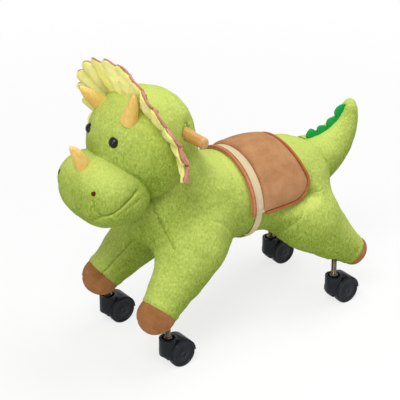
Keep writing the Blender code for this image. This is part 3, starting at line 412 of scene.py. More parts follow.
def stitches(line: Array, outward: Array, length: float, pitch: float, radius: float, lift: float) -> list[Skin]:
    """A row of thread stitches on a surface: each a short rod that bows up in its middle.

    Args:
        line: closely spaced points of the seam.
        outward: the surface's outward direction at each.
        length: how long each stitch is.
        pitch: the distance from stitch to stitch.
        radius: the thread's radius.
        lift: how far the thread's middle stands off the surface.

    Returns:
        One skin for each stitch.
    """
    along = run(line)
    ahead = unit(np.gradient(line, axis=0))
    above = unit(np.cross(ahead, unit(np.cross(outward, ahead))))
    skins = []
    for middle in np.arange(pitch / 2, along[-1], pitch):
        spot, way, up = (
            np.array([np.interp(middle, along, values[:, k]) for k in range(3)]) for values in (line, ahead, above)
        )
        t = np.linspace(-1.0, 1.0, 5)[:, None]
        path = spot + way * t * length / 2 + up * (lift * (1 - t * t) - radius * 0.4)
        skins.append(tube(path, radius * np.sqrt(1.02 - t[:, 0] ** 2 * 0.6), 5, up))
    return skins


# ---- the stuffed forms, as the solids have them


class Form:
    """A stuffed form, known by a value that is below zero inside it and above zero outside it."""

    def level(self, points: Array) -> Array:
        """The form's value at each point."""
        raise NotImplementedError

    def slope(self, points: Array) -> tuple[Array, Array]:
        """The form's value at each point, and how fast it grows along each axis."""
        here = self.level(points)
        return here, np.stack([(self.level(points + step) - here) / PROBE for step in np.eye(3) * PROBE], -1)

    def distance(self, points: Array) -> Array:
        """About how far each point lies outside the form: its value over the value's steepness."""
        here, slope = self.slope(points)
        return here / np.maximum(np.linalg.norm(slope, axis=-1), TINY)

    def outward(self, points: Array) -> Array:
        """The direction in which the form's value grows fastest, of length one."""
        return unit(self.slope(points)[1])

    def entry(self, anchor: Array, points: Array, reach: float = 1.35) -> Array:
        """The share of the line from an anchor to each point at which the form is met.

        Args:
            anchor: a point outside the form.
            points: where the lines lead.
            reach: how far beyond its point a line is followed, as a share.

        Returns:
            The share for each point, or a large number where the line stays outside.
        """
        steps = np.linspace(0.0, reach, SEEK_STEPS)
        ray = points - anchor
        values = np.stack([self.level(anchor + ray * step) for step in steps], -1)
        inside = values < 0
        first = np.maximum(inside.argmax(-1), 1)
        after = np.take_along_axis(values, first[..., None], -1)[..., 0]
        before = np.take_along_axis(values, first[..., None] - 1, -1)[..., 0]
        share = steps[first - 1] + steps[1] * before / np.where(before == after, 1.0, before - after)
        return np.where(inside.any(-1), share, FAR)

    def shell(self, centre: Array, heading: Array, reach: float = 0.25) -> Array:
        """How far from an inner point the form's surface lies in each direction, found by halving.

        Args:
            centre: a point inside the form.
            heading: directions of length one.
            reach: a distance that is always outside.

        Returns:
            The distance in each direction.
        """
        low = np.zeros(heading.shape[:-1])
        high = np.full(heading.shape[:-1], reach)
        for _ in range(HALVINGS):
            middle = (low + high) / 2
            inside = self.level(centre + heading * middle[..., None]) < 0
            low, high = np.where(inside, middle, low), np.where(inside, high, middle)
        return (low + high) / 2


@dataclass(frozen=True)
class TorsoForm(Form):
    """The barrel of the body, which rises a little where the neck leaves it."""

    front: float = -0.196
    rear: float = 0.236
    height: float = 0.2433
    half_height: float = 0.0809
    half_width: float = 0.087
    fullness: float = 2.9
    rise: float = 0.012

    def share(self, x: Array) -> Array:
        """The place along the barrel, from -1 to 1."""
        return (x - (self.front + self.rear) / 2) / ((self.rear - self.front) / 2)

    def lift(self, t: Array) -> Array:
        """How far the barrel's middle is raised."""
        return self.rise * np.sin(math.pi * np.clip(-t, 0.0, 1.0)) ** 2

    def level(self, points: Array) -> Array:
        """The squares of the shares across and up, plus the share along to the power of the fullness, less 1.

        Args:
            points: where to read it.

        Returns:
            The value at each point.
        """
        t = self.share(points[..., 0])
        up = (points[..., 2] - self.height - self.lift(t)) / self.half_height
        return (points[..., 1] / self.half_width) ** 2 + up**2 + np.abs(t) ** self.fullness - 1

    def skin(self, x: Array, degrees: Array, out: Array | float = 0.0) -> Array:
        """The points a distance outside the barrel, at places along it and angles from its top.

        Args:
            x: the places along it.
            degrees: the angles from its top.
            out: how far outside it.

        Returns:
            The points.
        """
        t = np.clip(self.share(np.asarray(x, float)), -0.9999, 0.9999)
        size = np.sqrt(1 - np.abs(t) ** self.fullness)
        angle = np.radians(degrees)
        across = np.sin(angle) * (self.half_width * size + out)
        up = self.height + self.lift(t) + np.cos(angle) * (self.half_height * size + out)
        return np.stack(np.broadcast_arrays(x, across, up), -1)

    def out(self, x: Array, degrees: Array) -> Array:
        """The barrel's outward direction there, found from points beside it.

        Args:
            x: the places along it.
            degrees: the angles from its top.

        Returns:
            A direction of length one for each.
        """
        here = self.skin(x, degrees)
        along = self.skin(np.asarray(x) + PROBE, degrees) - here
        around = self.skin(x, np.asarray(degrees) + 0.01) - here
        return unit(np.cross(along, around))


@dataclass(frozen=True)
class EggForm(Form):
    """An egg whose level sections are ellipses, or fuller where plan is above 2, and whose middle may lean."""

    centre: Point
    half: Point
    fullness: float = 2.0
    lean: float = 0.0
    plan: float = 2.0

    def level(self, points: Array) -> Array:
        """The shares across, each to the plan's power, made a square again, plus the share up to its own, less 1.

        Args:
            points: where to read it.

        Returns:
            The value at each point.
        """
        t = (points[..., 2] - self.centre[2]) / self.half[2]
        x = (points[..., 0] - self.centre[0] - self.lean * (t + 1) / 2) / self.half[0]
        y = (points[..., 1] - self.centre[1]) / self.half[1]
        flat = (np.abs(x) ** self.plan + np.abs(y) ** self.plan) ** (2 / self.plan)
        return flat + np.abs(t) ** self.fullness - 1


@dataclass(frozen=True)
class HeadForm:
    """The skull and the muzzle, joined with a soft fold between them."""

    skull: EggForm = EggForm((-0.175, 0.0, 0.3917), (0.088, 0.092, 0.1003))
    muzzle: EggForm = EggForm((-0.2465, 0.0, 0.3303), (0.066, 0.083, 0.0645), 2.3, 0.0, 2.7)
    middle: Point = (-0.212, 0.0, 0.356)
    fold: float = 0.005
    crease: float = 0.0042
    crease_width: float = 0.0050
    crease_from: float = 0.405
    crease_over: float = 0.050

    def reach(self, heading: Array) -> Array:
        """How far out the head's surface lies in each direction from its middle.

        It is the greater of the two eggs' reaches, drawn in where the two are alike, below the brow.

        Args:
            heading: directions of length one.

        Returns:
            The distance in each direction.
        """
        centre = np.array(self.middle)
        first, second = (egg.shell(centre, heading) for egg in (self.skull, self.muzzle))
        outer = -soft_min(-first, -second, self.fold)
        height = centre[2] + outer * heading[..., 2]
        drawn = self.crease * ease((self.crease_from - height) / self.crease_over)
        return outer - drawn * np.exp(-(((first - second) / self.crease_width) ** 2))

    def onto(self, points: Path, count: int) -> Array:
        """A smooth line of that many points, past some points near the head and laid onto its surface."""
        heading = unit(curve_through(points, count) - self.middle)
        return self.middle + heading * self.reach(heading)[..., None]


@dataclass(frozen=True)
class LimbForm(Form):
    """A round limb along a bent line, with a radius at each of its points."""

    line: Array
    radii: Array

    def level(self, points: Array) -> Array:
        """How far each point lies from the nearest part of the line, less the radius there."""
        square = square_gaps(points.reshape(-1, 3), self.line)
        return (np.sqrt(np.maximum(square, 0.0)) - self.radii).min(1).reshape(points.shape[:-1])

    def distance(self, points: Array) -> Array:
        """The value is already a distance."""
        return self.level(points)


TORSO = TorsoForm()
NECK = EggForm((-0.127, 0.0, 0.36505), (0.056, 0.072, 0.11055), 2.7, -0.004)
HEAD = HeadForm()


@dataclass(frozen=True)
class StuffedBody(Form):
    """The barrel, the neck and the legs, or the neck and the skull, as one soft form with round valleys.

    Its forms and the reach over which each flows into the rest go by name. The room says how freely the form may
    swell at each point, from 0 to 1.
    """

    forms: dict[str, Form]
    reaches: dict[str, float]
    room: Reader
    seams: list[Array] = field(default_factory=list)

    def spans(self, points: Array) -> dict[str, Array]:
        """How far each point lies outside each of the forms."""
        return {name: form.distance(points) for name, form in self.forms.items()}

    def blend(self, spans: dict[str, Array], points: Array) -> Array:
        """The least of the forms' distances, each taken in with its own soft reach, as far as there is room.

        Args:
            spans: each form's distances.
            points: where they were read.

        Returns:
            The blended distances.
        """
        free = np.clip(self.room(points), 0.03, 1.0)
        total = None
        for name, own in spans.items():
            total = own if total is None else soft_min(total, own, self.reaches[name] * free)
        return total

    def level(self, points: Array) -> Array:
        """The blended distance at each point."""
        return self.blend(self.spans(points), points)

    def split(self, name: str, points: Array) -> tuple[Array, Array, Array]:
        """The blended distance, the distance to one form, and the distance to the nearest of the others.

        Args:
            name: the form's name.
            points: where to read them.

        Returns:
            The three distances.
        """
        spans = self.spans(points)
        others = np.min([span for key, span in spans.items() if key != name], axis=0)
        return self.blend(spans, points), spans[name], others


def above_frill(points: Array) -> Array:
    """How freely the nape may swell: 0 where the frill is close to it, 1 from a little higher up."""
    return ease((points[..., 2] - 0.425) / 0.03)


NAPE = StuffedBody({"neck": NECK, "head": HEAD.skull}, {"neck": 0.016, "head": 0.016}, above_frill)


# ---- work on a skin of cloth


@dataclass
class Cloth:
    """A grid of points that is pressed, filled, sewn and ruffled step by step."""

    points: Array

    def normals(self) -> Array:
        """The outward direction at each point, from its neighbours along and round the grid.

        Returns:
            A direction of length one for each point.
        """
        around = np.roll(self.points, -1, 1) - np.roll(self.points, 1, 1)
        along = np.gradient(self.points, axis=0)
        out = unit(np.cross(around, along))
        middle = self.points.reshape(-1, 3).mean(0)
        return out if ((self.points - middle) * out).sum() > 0 else -out

    def swell(self, height: Array) -> None:
        """Moves each point outwards by its height, or inwards where that is below zero."""
        self.points = self.points + self.normals() * height[..., None]

    def press(self, anchor: Path, form: Form, gap: float, soft: float) -> Array:
        """Draws points towards an anchor until they lie outside a neighbour, rounded at the rim.

        Args:
            anchor: a point outside the neighbour, or one for each of this piece's points.
            form: the neighbour.
            gap: how far this piece stays off it.
            soft: over what distance the rim is rounded.

        Returns:
            How far each point lies from the pressed part, in metres, 0 and below where it is pressed.
        """
        anchor = np.asarray(anchor, float)
        ray = self.points - anchor
        length = np.linalg.norm(ray, axis=-1)
        wall = form.entry(anchor, self.points) * length - gap
        near = soft_min(length, wall, soft)
        self.points = anchor + ray * (near / np.maximum(length, TINY))[..., None]
        return wall - length

    def join(self, body: StuffedBody, name: str, free: Array | float = 1.0) -> None:
        """Raises the cloth to the soft form of the whole body, so that it meets its neighbours in a round valley.

        Each point moves straight out of its own form until the body's value there is zero. Past the middle of the
        valley, where a neighbour is nearer than this piece, it sinks slowly below the neighbour's own cloth. The
        move fades where a neighbour covers the points, and at the end of the largest reach.

        Args:
            body: the whole body's soft form.
            name: this piece's name in it.
            free: how far each point lies from the part that a neighbour has pressed, in metres.
        """
        sink, deepest, highest = 0.12, 0.012, 0.024
        covered, fading, rim = 0.006, 0.015, 0.0025
        reach = max(body.reaches.values())
        _, _, first = body.split(name, self.points)
        near = first < reach
        spots = self.points[near]
        ways = body.forms[name].outward(spots)
        height = np.zeros(len(spots))
        for _ in range(JOIN_STEPS):
            level, own, others = body.split(name, spots + ways * height[:, None])
            height = np.clip(height - 1.1 * (level + sink * np.clip(own - others, 0.0, deepest)), 0.0, highest)
        share = ease((first[near] + covered) / covered) * ease((reach - first[near]) / fading)
        share = share * ease(np.broadcast_to(free, first.shape)[near] / rim)
        self.points[near] = spots + ways * (height * share)[:, None]

    def sew(self, line: Array, depth: float, width: float, pucker: float = 0.25, pitch: float = 0.009) -> None:
        """Draws the cloth in along a seam: a bell-shaped groove that deepens and eases at each few stitches.

        Args:
            line: closely spaced points of the seam.
            depth: how deep the groove is.
            width: how far from the seam it fades.
            pucker: how much the depth swings.
            pitch: the distance from pucker to pucker.
        """
        gap, along = near_line(self.points, line)
        swing = 1 + pucker * np.cos(along * (2 * math.pi / pitch))
        bell = np.exp(-((gap / width) ** 2)) + 0.35 * np.exp(-((gap / (3 * width)) ** 2)) * swing
        self.swell(-depth * bell)

    def sew_all(self, lines: Sequence[Array], depth: float = 0.0036, width: float = 0.0016) -> None:
        """Draws the cloth in along every seam that passes it."""
        for line in lines:
            self.sew(line, depth, width)

    def dimple(self, start: Point, end: Point, radius: float, depth: float, width: float) -> None:
        """Draws the cloth in by a depth round a rod that comes out of it, fading over a width."""
        gap, _ = near_line(self.points, np.linspace(start, end, 40))
        self.swell(-depth * np.exp(-((np.maximum(gap - radius, 0.0) / width) ** 2)))

    def dowel_dimples(self, depth: float) -> None:
        """Draws the cloth in round both ends of the dowel."""
        for near, far in ((-0.05, -0.1), (0.05, 0.1)):
            self.dimple((DOWEL_X, near, DOWEL_HEIGHT), (DOWEL_X, far, DOWEL_HEIGHT), DOWEL_RADIUS, depth, 0.005)

    def ruffle(self, seed: int, lumps: float = 0.0008, tufts: float = 0.00016, room: Optional[Reader] = None) -> None:
        """Gives the cloth the soft lumps of its stuffing and the finer tufts of its pile.

        Args:
            seed: the number that fixes them.
            lumps: the lumps' height.
            tufts: the tufts' height.
            room: how freely the cloth may swell at each point, from 0 to 1.
        """
        relief = lumps * ripple(self.points, 0.055, seed) + lumps * 0.3 * ripple(self.points, 0.024, seed + 1)
        relief += tufts * ripple(self.points, 0.0065, seed + 2)
        if room is not None:
            relief = relief * (0.25 + 0.75 * room(self.points))
        self.swell(relief)

    def rumple(self, coarse: tuple[float, float, int], fine: tuple[float, float, int]) -> None:
        """Gives the cloth two reliefs, each known by its height, its wavelength and its seed."""
        self.swell(sum(height * ripple(self.points, length, seed) for height, length, seed in (coarse, fine)))


def globe(centre: Path, reach: Reader, rows: int, columns: int, axis: int) -> Array:
    """Points of a surface seen from its middle: rings of equal angle about an axis, at the reach in each direction.

    Args:
        centre: the middle.
        reach: the distance of the surface, from directions.
        rows: how many rings there are.
        columns: how many points are in each ring.
        axis: the axis that the rings go round.

    Returns:
        The rings' points.
    """
    tilt = (np.arange(rows) + 0.5) * (math.pi / rows)
    turn = circle(columns)
    heading = np.zeros((rows, columns, 3))
    heading[..., axis] = -np.cos(tilt)[:, None]
    heading[..., (axis + 1) % 3] = np.outer(np.sin(tilt), np.cos(turn))
    heading[..., (axis + 2) % 3] = np.outer(np.sin(tilt), np.sin(turn))
    return np.asarray(centre) + heading * reach(heading)[..., None]


# ---- finishes


def paint(red: int, green: int, blue: int) -> Colour:
    """A screen colour of 0 to 255 as the shader's linear colour.

    Args:
        red: the red share.
        green: the green share.
        blue: the blue share.

    Returns:
        The linear colour, opaque.
    """
    share = np.array([red, green, blue]) / 255
    linear = np.where(share <= 0.04045, share / 12.92, ((share + 0.055) / 1.055) ** 2.4)
    return (*(float(value) for value in linear), 1.0)


class Wiring:
    """Adds nodes to one node tree and joins them."""

    def __init__(self, tree: bpy.types.NodeTree) -> None:
        """Keeps the tree."""
        self.tree = tree

    def feed(self, node: bpy.types.Node, inputs: dict) -> bpy.types.Node:
        """Gives a node its inputs.

        Args:
            node: the node.
            inputs: a value or a socket for each named or numbered input.

        Returns:
            The same node.
        """
        for key, value in inputs.items():
            if isinstance(value, Socket):
                self.tree.links.new(value, node.inputs[key])
            else:
                node.inputs[key].default_value = value
        return node

    def add(self, kind: str, inputs: Optional[dict] = None, **settings: object) -> bpy.types.Node:
        """A new node.

        Args:
            kind: the node's type, without its leading words.
            inputs: a value or a socket for each named or numbered input.
            settings: the node's own options.

        Returns:
            The node.
        """
        node = self.tree.nodes.new("ShaderNode" + kind)
        for key, value in settings.items():
            setattr(node, key, value)
        return self.feed(node, inputs or {})

    def math(self, operation: str, *values: object) -> Socket:
        """The result of a sum, product or other operation."""
        return self.add("Math", dict(enumerate(values)), operation=operation).outputs[0]

    def total(self, *terms: tuple[object, float]) -> Socket:
        """The sum of some values, each times its share."""
        parts = [self.math("MULTIPLY", value, share) for value, share in terms]
        return reduce(lambda first, second: self.math("ADD", first, second), parts)

    def mix(self, factor: object, first: object, second: object) -> Socket:
        """A colour between two colours."""
        return self.add("Mix", {0: factor, 6: first, 7: second}, data_type="RGBA").outputs[2]

    def band(self, value: object, low: float, high: float) -> Socket:
        """A value stretched so that low becomes 0 and high becomes 1."""
        return self.add("MapRange", {0: value, 1: low, 2: high, 3: 0.0, 4: 1.0}).outputs[0]

    def noise(self, vector: object, scale: float, detail: float = 2.0, rough: float = 0.5) -> Socket:
        """Soft random values."""
        inputs = {"Vector": vector, "Scale": scale, "Detail": detail, "Roughness": rough}
        return self.add("TexNoise", inputs).outputs["Fac"]

    def stretch(self, vector: object, scale: Point, turn: Point = (0, 0, 0)) -> Socket:
        """A place turned by degrees, then stretched."""
        inputs = {"Vector": vector, "Scale": scale, "Rotation": [math.radians(angle) for angle in turn]}
        return self.add("Mapping", inputs).outputs[0]

    def bump(self, height: object, strength: float, distance: float) -> Socket:
        """A normal tilted by the slope of a height."""
        return self.add("Bump", {"Height": height, "Strength": strength, "Distance": distance}).outputs[0]

    def place(self) -> Socket:
        """The place on the object, in metres."""
        return self.add("TexCoord").outputs["Object"]


class SharedEffect:
    """A node group that is built on its first use."""

    name = ""
    inputs: dict[str, Optional[float]] = {}
    outputs: tuple[str, ...] = ()

    def fill(self, w: Wiring, given: dict) -> tuple[Socket, ...]:
        """The sockets that the group puts out, worked out from those that it is given."""
        raise NotImplementedError

    def get(self) -> bpy.types.NodeTree:
        """The group, with a vector input for each None among its inputs.

        Returns:
            The group, made on its first use.
        """
        group = bpy.data.node_groups.get(self.name)
        if group:
            return group
        group = bpy.data.node_groups.new(self.name, "ShaderNodeTree")
        for label, value in self.inputs.items():
            kind = VECTOR if value is None else FLOAT
            socket = group.interface.new_socket(name=label, in_out="INPUT", socket_type=kind)
            if value is not None:
                socket.default_value = value
        for label in self.outputs:
            group.interface.new_socket(name=label, in_out="OUTPUT", socket_type=FLOAT)
        given, result = (group.nodes.new(kind) for kind in ("NodeGroupInput", "NodeGroupOutput"))
        w = Wiring(group)
        w.feed(result, dict(zip(self.outputs, self.fill(w, given.outputs))))
        return group


class ShortPile(SharedEffect):
    """The pile of plush: clumps, tufts and hairs, as a height and as a shade of 0 to 1."""

    name = "short_pile"
    inputs = {"Vector": None, "Clumps": 110.0, "Hairs": 620.0}
    outputs = ("Height", "Shade")

    def fill(self, w: Wiring, given: dict) -> tuple[Socket, ...]:
        """The height and the shade.

        Args:
            w: the group's wiring.
            given: the group's inputs.

        Returns:
            The height and the shade.
        """
        vector, size = given["Vector"], given["Clumps"]
        clumps = w.add("TexNoise", {"Vector": vector, "Scale": size, "Detail": 3.0, "Distortion": 0.7})
        tufts = w.add("TexVoronoi", {"Vector": vector, "Scale": w.math("MULTIPLY", size, 2.6)})
        clump = w.band(clumps.outputs["Fac"], 0.3, 0.7)
        hair = w.band(w.noise(vector, given["Hairs"], 2.0, 0.7), 0.3, 0.7)
        tuft = w.band(tufts.outputs["Distance"], 0.9, 0.0)
        height = w.total((clump, 0.5), (w.math("ADD", hair, tuft), 0.25))
        return height, w.total((clump, 0.55), (hair, 0.45))


class FineWear(SharedEffect):
    """Fine scuffs and dust for hard surfaces, as a mask of 0 to 1 and a height."""

    name = "fine_wear"
    inputs = {"Vector": None, "Scale": 60.0}
    outputs = ("Mask", "Height")

    def fill(self, w: Wiring, given: dict) -> tuple[Socket, ...]:
        """The mask from broad patches and the height from a grain 22 times finer."""
        broad, fine = w.noise(given["Vector"], given["Scale"], 5.0), w.math("MULTIPLY", given["Scale"], 22.0)
        return w.band(broad, 0.45, 0.75), w.noise(given["Vector"], fine, 2.0)


@dataclass(frozen=True)
class Finish:
    """A finish of two colours, one for its depths and one for its heights."""

    name: str
    deep: Colour
    light: Colour

    def looks(self, w: Wiring) -> dict[str, object]:
        """The shader's inputs, each a value or a socket."""
        raise NotImplementedError

    def make(self) -> bpy.types.Material:
        """Builds the material.

        Returns:
            The material.
        """
        material = bpy.data.materials.new(self.name)
        material.use_nodes = True
        w = Wiring(material.node_tree)
        w.feed(w.tree.nodes["Principled BSDF"], self.looks(w))
        return material


@dataclass(frozen=True)
class PlushFinish(Finish):
    """Short pile plush, deeper between tufts, paler on them, with painted light from above and a soft sheen."""

    clumps: float = 310.0
    hairs: float = 1200.0
    bump: float = 0.0012
    sheen: float = 0.18
    # the share of painted light from above: paler where the surface faces up, deeper where it faces down
    painted_top_light: float = 0.57
    turn: Point = (0.0, 0.0, 0.0)
    stretch: Point = (1.0, 1.0, 0.5)

    def looks(self, w: Wiring) -> dict[str, object]:
        """The shader's inputs.

        Args:
            w: the material's wiring.

        Returns:
            A value or a socket for each.
        """
        where = w.place()
        lay = w.stretch(where, self.stretch, self.turn)
        inputs = {"Vector": lay, "Clumps": self.clumps, "Hairs": self.hairs}
        pile = w.add("Group", inputs, node_tree=ShortPile().get()).outputs
        broad = w.band(w.noise(where, 16.0, 2.0), 0.35, 0.65)
        # painted light: by its own normal the colour is paler where the surface faces up and deeper where it faces
        # down
        facing = w.add("SeparateXYZ", {0: w.add("TexCoord").outputs["Normal"]}).outputs["Z"]
        upper = w.math("POWER", w.band(facing, -0.75, 0.85), 1.8)
        shade = w.total((pile["Shade"], 0.56), (broad, 0.08), (upper, self.painted_top_light))
        return {
            # the deep colour is also painted shade on surfaces that face down, the light colour painted light on
            # those that face up
            "Base Color": w.mix(w.band(shade, 0.14, 0.9), self.deep, self.light),
            "Normal": w.bump(pile["Height"], 0.8, self.bump),
            "Roughness": 0.95,
            "Specular IOR Level": 0.15,
            "Sheen Weight": self.sheen,
            "Sheen Roughness": 0.45,
            "Sheen Tint": self.light,
        }


@dataclass(frozen=True)
class NapFinish(Finish):
    """Suede, velour, felt or webbing: a fine nap with deeper and paler patches, and a weave or fibres where they
    show.
    """

    grain: Grain = Grain.SUEDE
    sheen: float = 0.25

    def looks(self, w: Wiring) -> dict[str, object]:
        """The shader's inputs.

        Args:
            w: the material's wiring.

        Returns:
            A value or a socket for each.
        """
        where = w.place()
        patches = w.band(w.noise(where, 34.0, 3.0, 0.6), 0.3, 0.7)
        fine = w.band(w.noise(where, 900.0, 2.0, 0.7), 0.3, 0.7)
        share, distance = {
            Grain.SUEDE: (0.55, 0.00025),
            Grain.VELOUR: (0.5, 0.00035),
            Grain.FELT: (0.35, 0.0005),
            Grain.WEBBING: (0.25, 0.0003),
        }[self.grain]
        height = fine
        shade = w.total((patches, share), (fine, 1 - share))
        if self.grain is Grain.WEBBING:
            inputs = {"Vector": w.add("TexCoord").outputs["UV"], "Scale": 330.0, "Distortion": 0.6}
            warp, weft = (w.add("TexWave", inputs, bands_direction=way).outputs["Fac"] for way in "XY")
            weave = w.math("MAXIMUM", warp, weft)
            height = w.total((weave, 0.6), (fine, 0.4))
            shade = w.total((shade, 0.6), (weave, 0.4))
        if self.grain is Grain.FELT:
            fibres = w.band(w.noise(w.stretch(where, (1.0, 1.0, 0.3), (20, 40, 0)), 420.0, 4.0, 0.8), 0.3, 0.7)
            height = w.total((fibres, 0.7), (fine, 0.3))
        return {
            "Base Color": w.mix(shade, self.deep, self.light),
            "Normal": w.bump(height, 0.7, distance),
            "Roughness": 0.9,
            "Specular IOR Level": 0.2,
            "Sheen Weight": self.sheen,
            "Sheen Roughness": 0.5,
            "Sheen Tint": self.light,
        }


@dataclass(frozen=True)
class WoodFinish(Finish):
    """Wood with its grain along one axis, and the layers of plywood where there are any."""

    along: Point
    coat: float = 0.0
    layers: bool = False

    def looks(self, w: Wiring) -> dict[str, object]:
        """The shader's inputs.

        Args:
            w: the material's wiring.

        Returns:
            A value or a socket for each.
        """
        where = w.place()
        lay = w.stretch(where, self.along)
        inputs = {"Vector": lay, "Scale": 55.0, "Distortion": 5.0, "Detail": 3.0, "Detail Scale": 1.2}
        rings = w.add("TexWave", inputs).outputs["Fac"]
        fibre = w.band(w.noise(lay, 700.0, 4.0, 0.7), 0.3, 0.7)
        shade = w.total((rings, 0.5), (fibre, 0.5))
        if self.layers:
            ply = w.add("TexWave", {"Vector": where, "Scale": 160.0, "Distortion": 0.3}, bands_direction="Z")
            shade = w.math("MULTIPLY", shade, w.band(ply.outputs["Fac"], -0.6, 1.0))
        return {
            "Base Color": w.mix(shade, self.deep, self.light),
            "Normal": w.bump(shade, 0.3, 0.0002),
            "Roughness": w.math("ADD", 0.42, w.math("MULTIPLY", fibre, 0.15)),
            "Coat Weight": self.coat,
            "Coat Roughness": 0.25,
        }


@dataclass(frozen=True)
class HardFinish(Finish):
    """Moulded plastic, plated metal or gloss, with a fine grain and a few scuffs in the second colour."""

    rough: float
    metallic: float = 0.0
    grain: float = 0.00008
    scale: float = 60.0
    specular: float = 0.5

    def looks(self, w: Wiring) -> dict[str, object]:
        """The shader's inputs.

        Args:
            w: the material's wiring.

        Returns:
            A value or a socket for each.
        """
        inputs = {"Vector": w.place(), "Scale": self.scale}
        wear = w.add("Group", inputs, node_tree=FineWear().get()).outputs
        return {
            "Base Color": w.mix(w.math("MULTIPLY", wear["Mask"], 0.5), self.deep, self.light),
            "Normal": w.bump(wear["Height"], 0.5, self.grain),
            "Roughness": w.math("ADD", self.rough, w.math("MULTIPLY", wear["Mask"], 0.12)),
            "Metallic": self.metallic,
            "Specular IOR Level": self.specular,
        }


@dataclass(frozen=True)
class Wardrobe:
    """Every finish of the toy, made once."""

    finishes: tuple = (
        # each plush's deep and light colours are also its painted shade where it faces down and painted light where
        # it faces up
        PlushFinish("body_plush", paint(104, 130, 6), paint(204, 220, 112)),
        PlushFinish("leg_plush", paint(104, 130, 6), paint(204, 220, 112), turn=(0, 40, 0)),
        PlushFinish("horn_plush", paint(216, 172, 82), paint(254, 222, 142), 260.0, 1500.0, 0.0003),
        NapFinish("frill_velour", paint(226, 222, 92), paint(254, 250, 176), Grain.VELOUR, 0.8),
        NapFinish("frill_back_nap", paint(180, 114, 88), paint(222, 168, 142), Grain.VELOUR, 0.35),
        NapFinish("saddle_suede", paint(162, 110, 68), paint(202, 152, 110)),
        NapFinish("piping_suede", paint(154, 84, 46), paint(198, 120, 76)),
        NapFinish("hoof_suede", paint(126, 80, 42), paint(182, 126, 78)),
        NapFinish("strap_cloth", paint(190, 172, 132), paint(232, 216, 180), Grain.WEBBING, 0.15),
        NapFinish("spike_felt", paint(10, 142, 58), paint(40, 184, 88), Grain.FELT, 0.2),
        NapFinish("olive_thread", paint(128, 132, 34), paint(168, 170, 64), Grain.WEBBING, 0.1),
        NapFinish("mouth_thread", paint(100, 118, 26), paint(134, 152, 44), Grain.WEBBING, 0.1),
        NapFinish("maroon_thread", paint(66, 20, 14), paint(112, 46, 34), Grain.WEBBING, 0.1),
        NapFinish("brown_thread", paint(118, 66, 34), paint(168, 104, 62), Grain.WEBBING, 0.1),
        NapFinish("cream_thread", paint(206, 188, 140), paint(250, 240, 208), Grain.WEBBING, 0.1),
        WoodFinish("dowel_wood", paint(180, 132, 60), paint(216, 172, 98), (1.0, 0.08, 1.0), 0.3),
        WoodFinish("plywood", paint(176, 138, 88), paint(224, 190, 140), (0.08, 1.0, 1.0), 0.0, True),
        HardFinish("caster_nylon", paint(9, 13, 21), paint(22, 28, 39), 0.36, specular=0.24),
        HardFinish("zinc_steel", paint(112, 102, 92), paint(78, 70, 62), 0.34, 1.0, 0.00004, 140.0),
        HardFinish("eye_gloss", paint(5, 5, 6), paint(9, 9, 11), 0.08, 0.0, 0.0, 30.0, 0.3),
    )
    made: dict = field(default_factory=dict)

    def get(self, name: str) -> bpy.types.Material:
        """The finish of that name.

        Args:
            name: the finish's name.

        Returns:
            Its material, made on its first use.
        """
        if name not in self.made:
            finish = next(entry for entry in self.finishes if entry.name == name)
            self.made[name] = finish.make()
        return self.made[name]


LOOKS = Wardrobe()


# ---- the stuffed body


@dataclass(frozen=True)
class LegSizes:
    """What a pair of legs shares: the line for the right side, its radii, its bow, the hoof and the flow's reach."""

    hip: Point
    ankle: Point
    radii: tuple[float, float]
    bow: float
    hoof: float
    sole_row: int
    flow: float


FRONT_LEGS = LegSizes((-0.072, 0.058, 0.222), (-0.197, 0.085, 0.110), (0.058, 0.0335), 0.0, 0.042, 34, 0.045)
REAR_LEGS = LegSizes((0.126, 0.056, 0.198), (0.240, 0.088, 0.0928), (0.066, 0.0275), -0.004, 0.024, 28, 0.052)


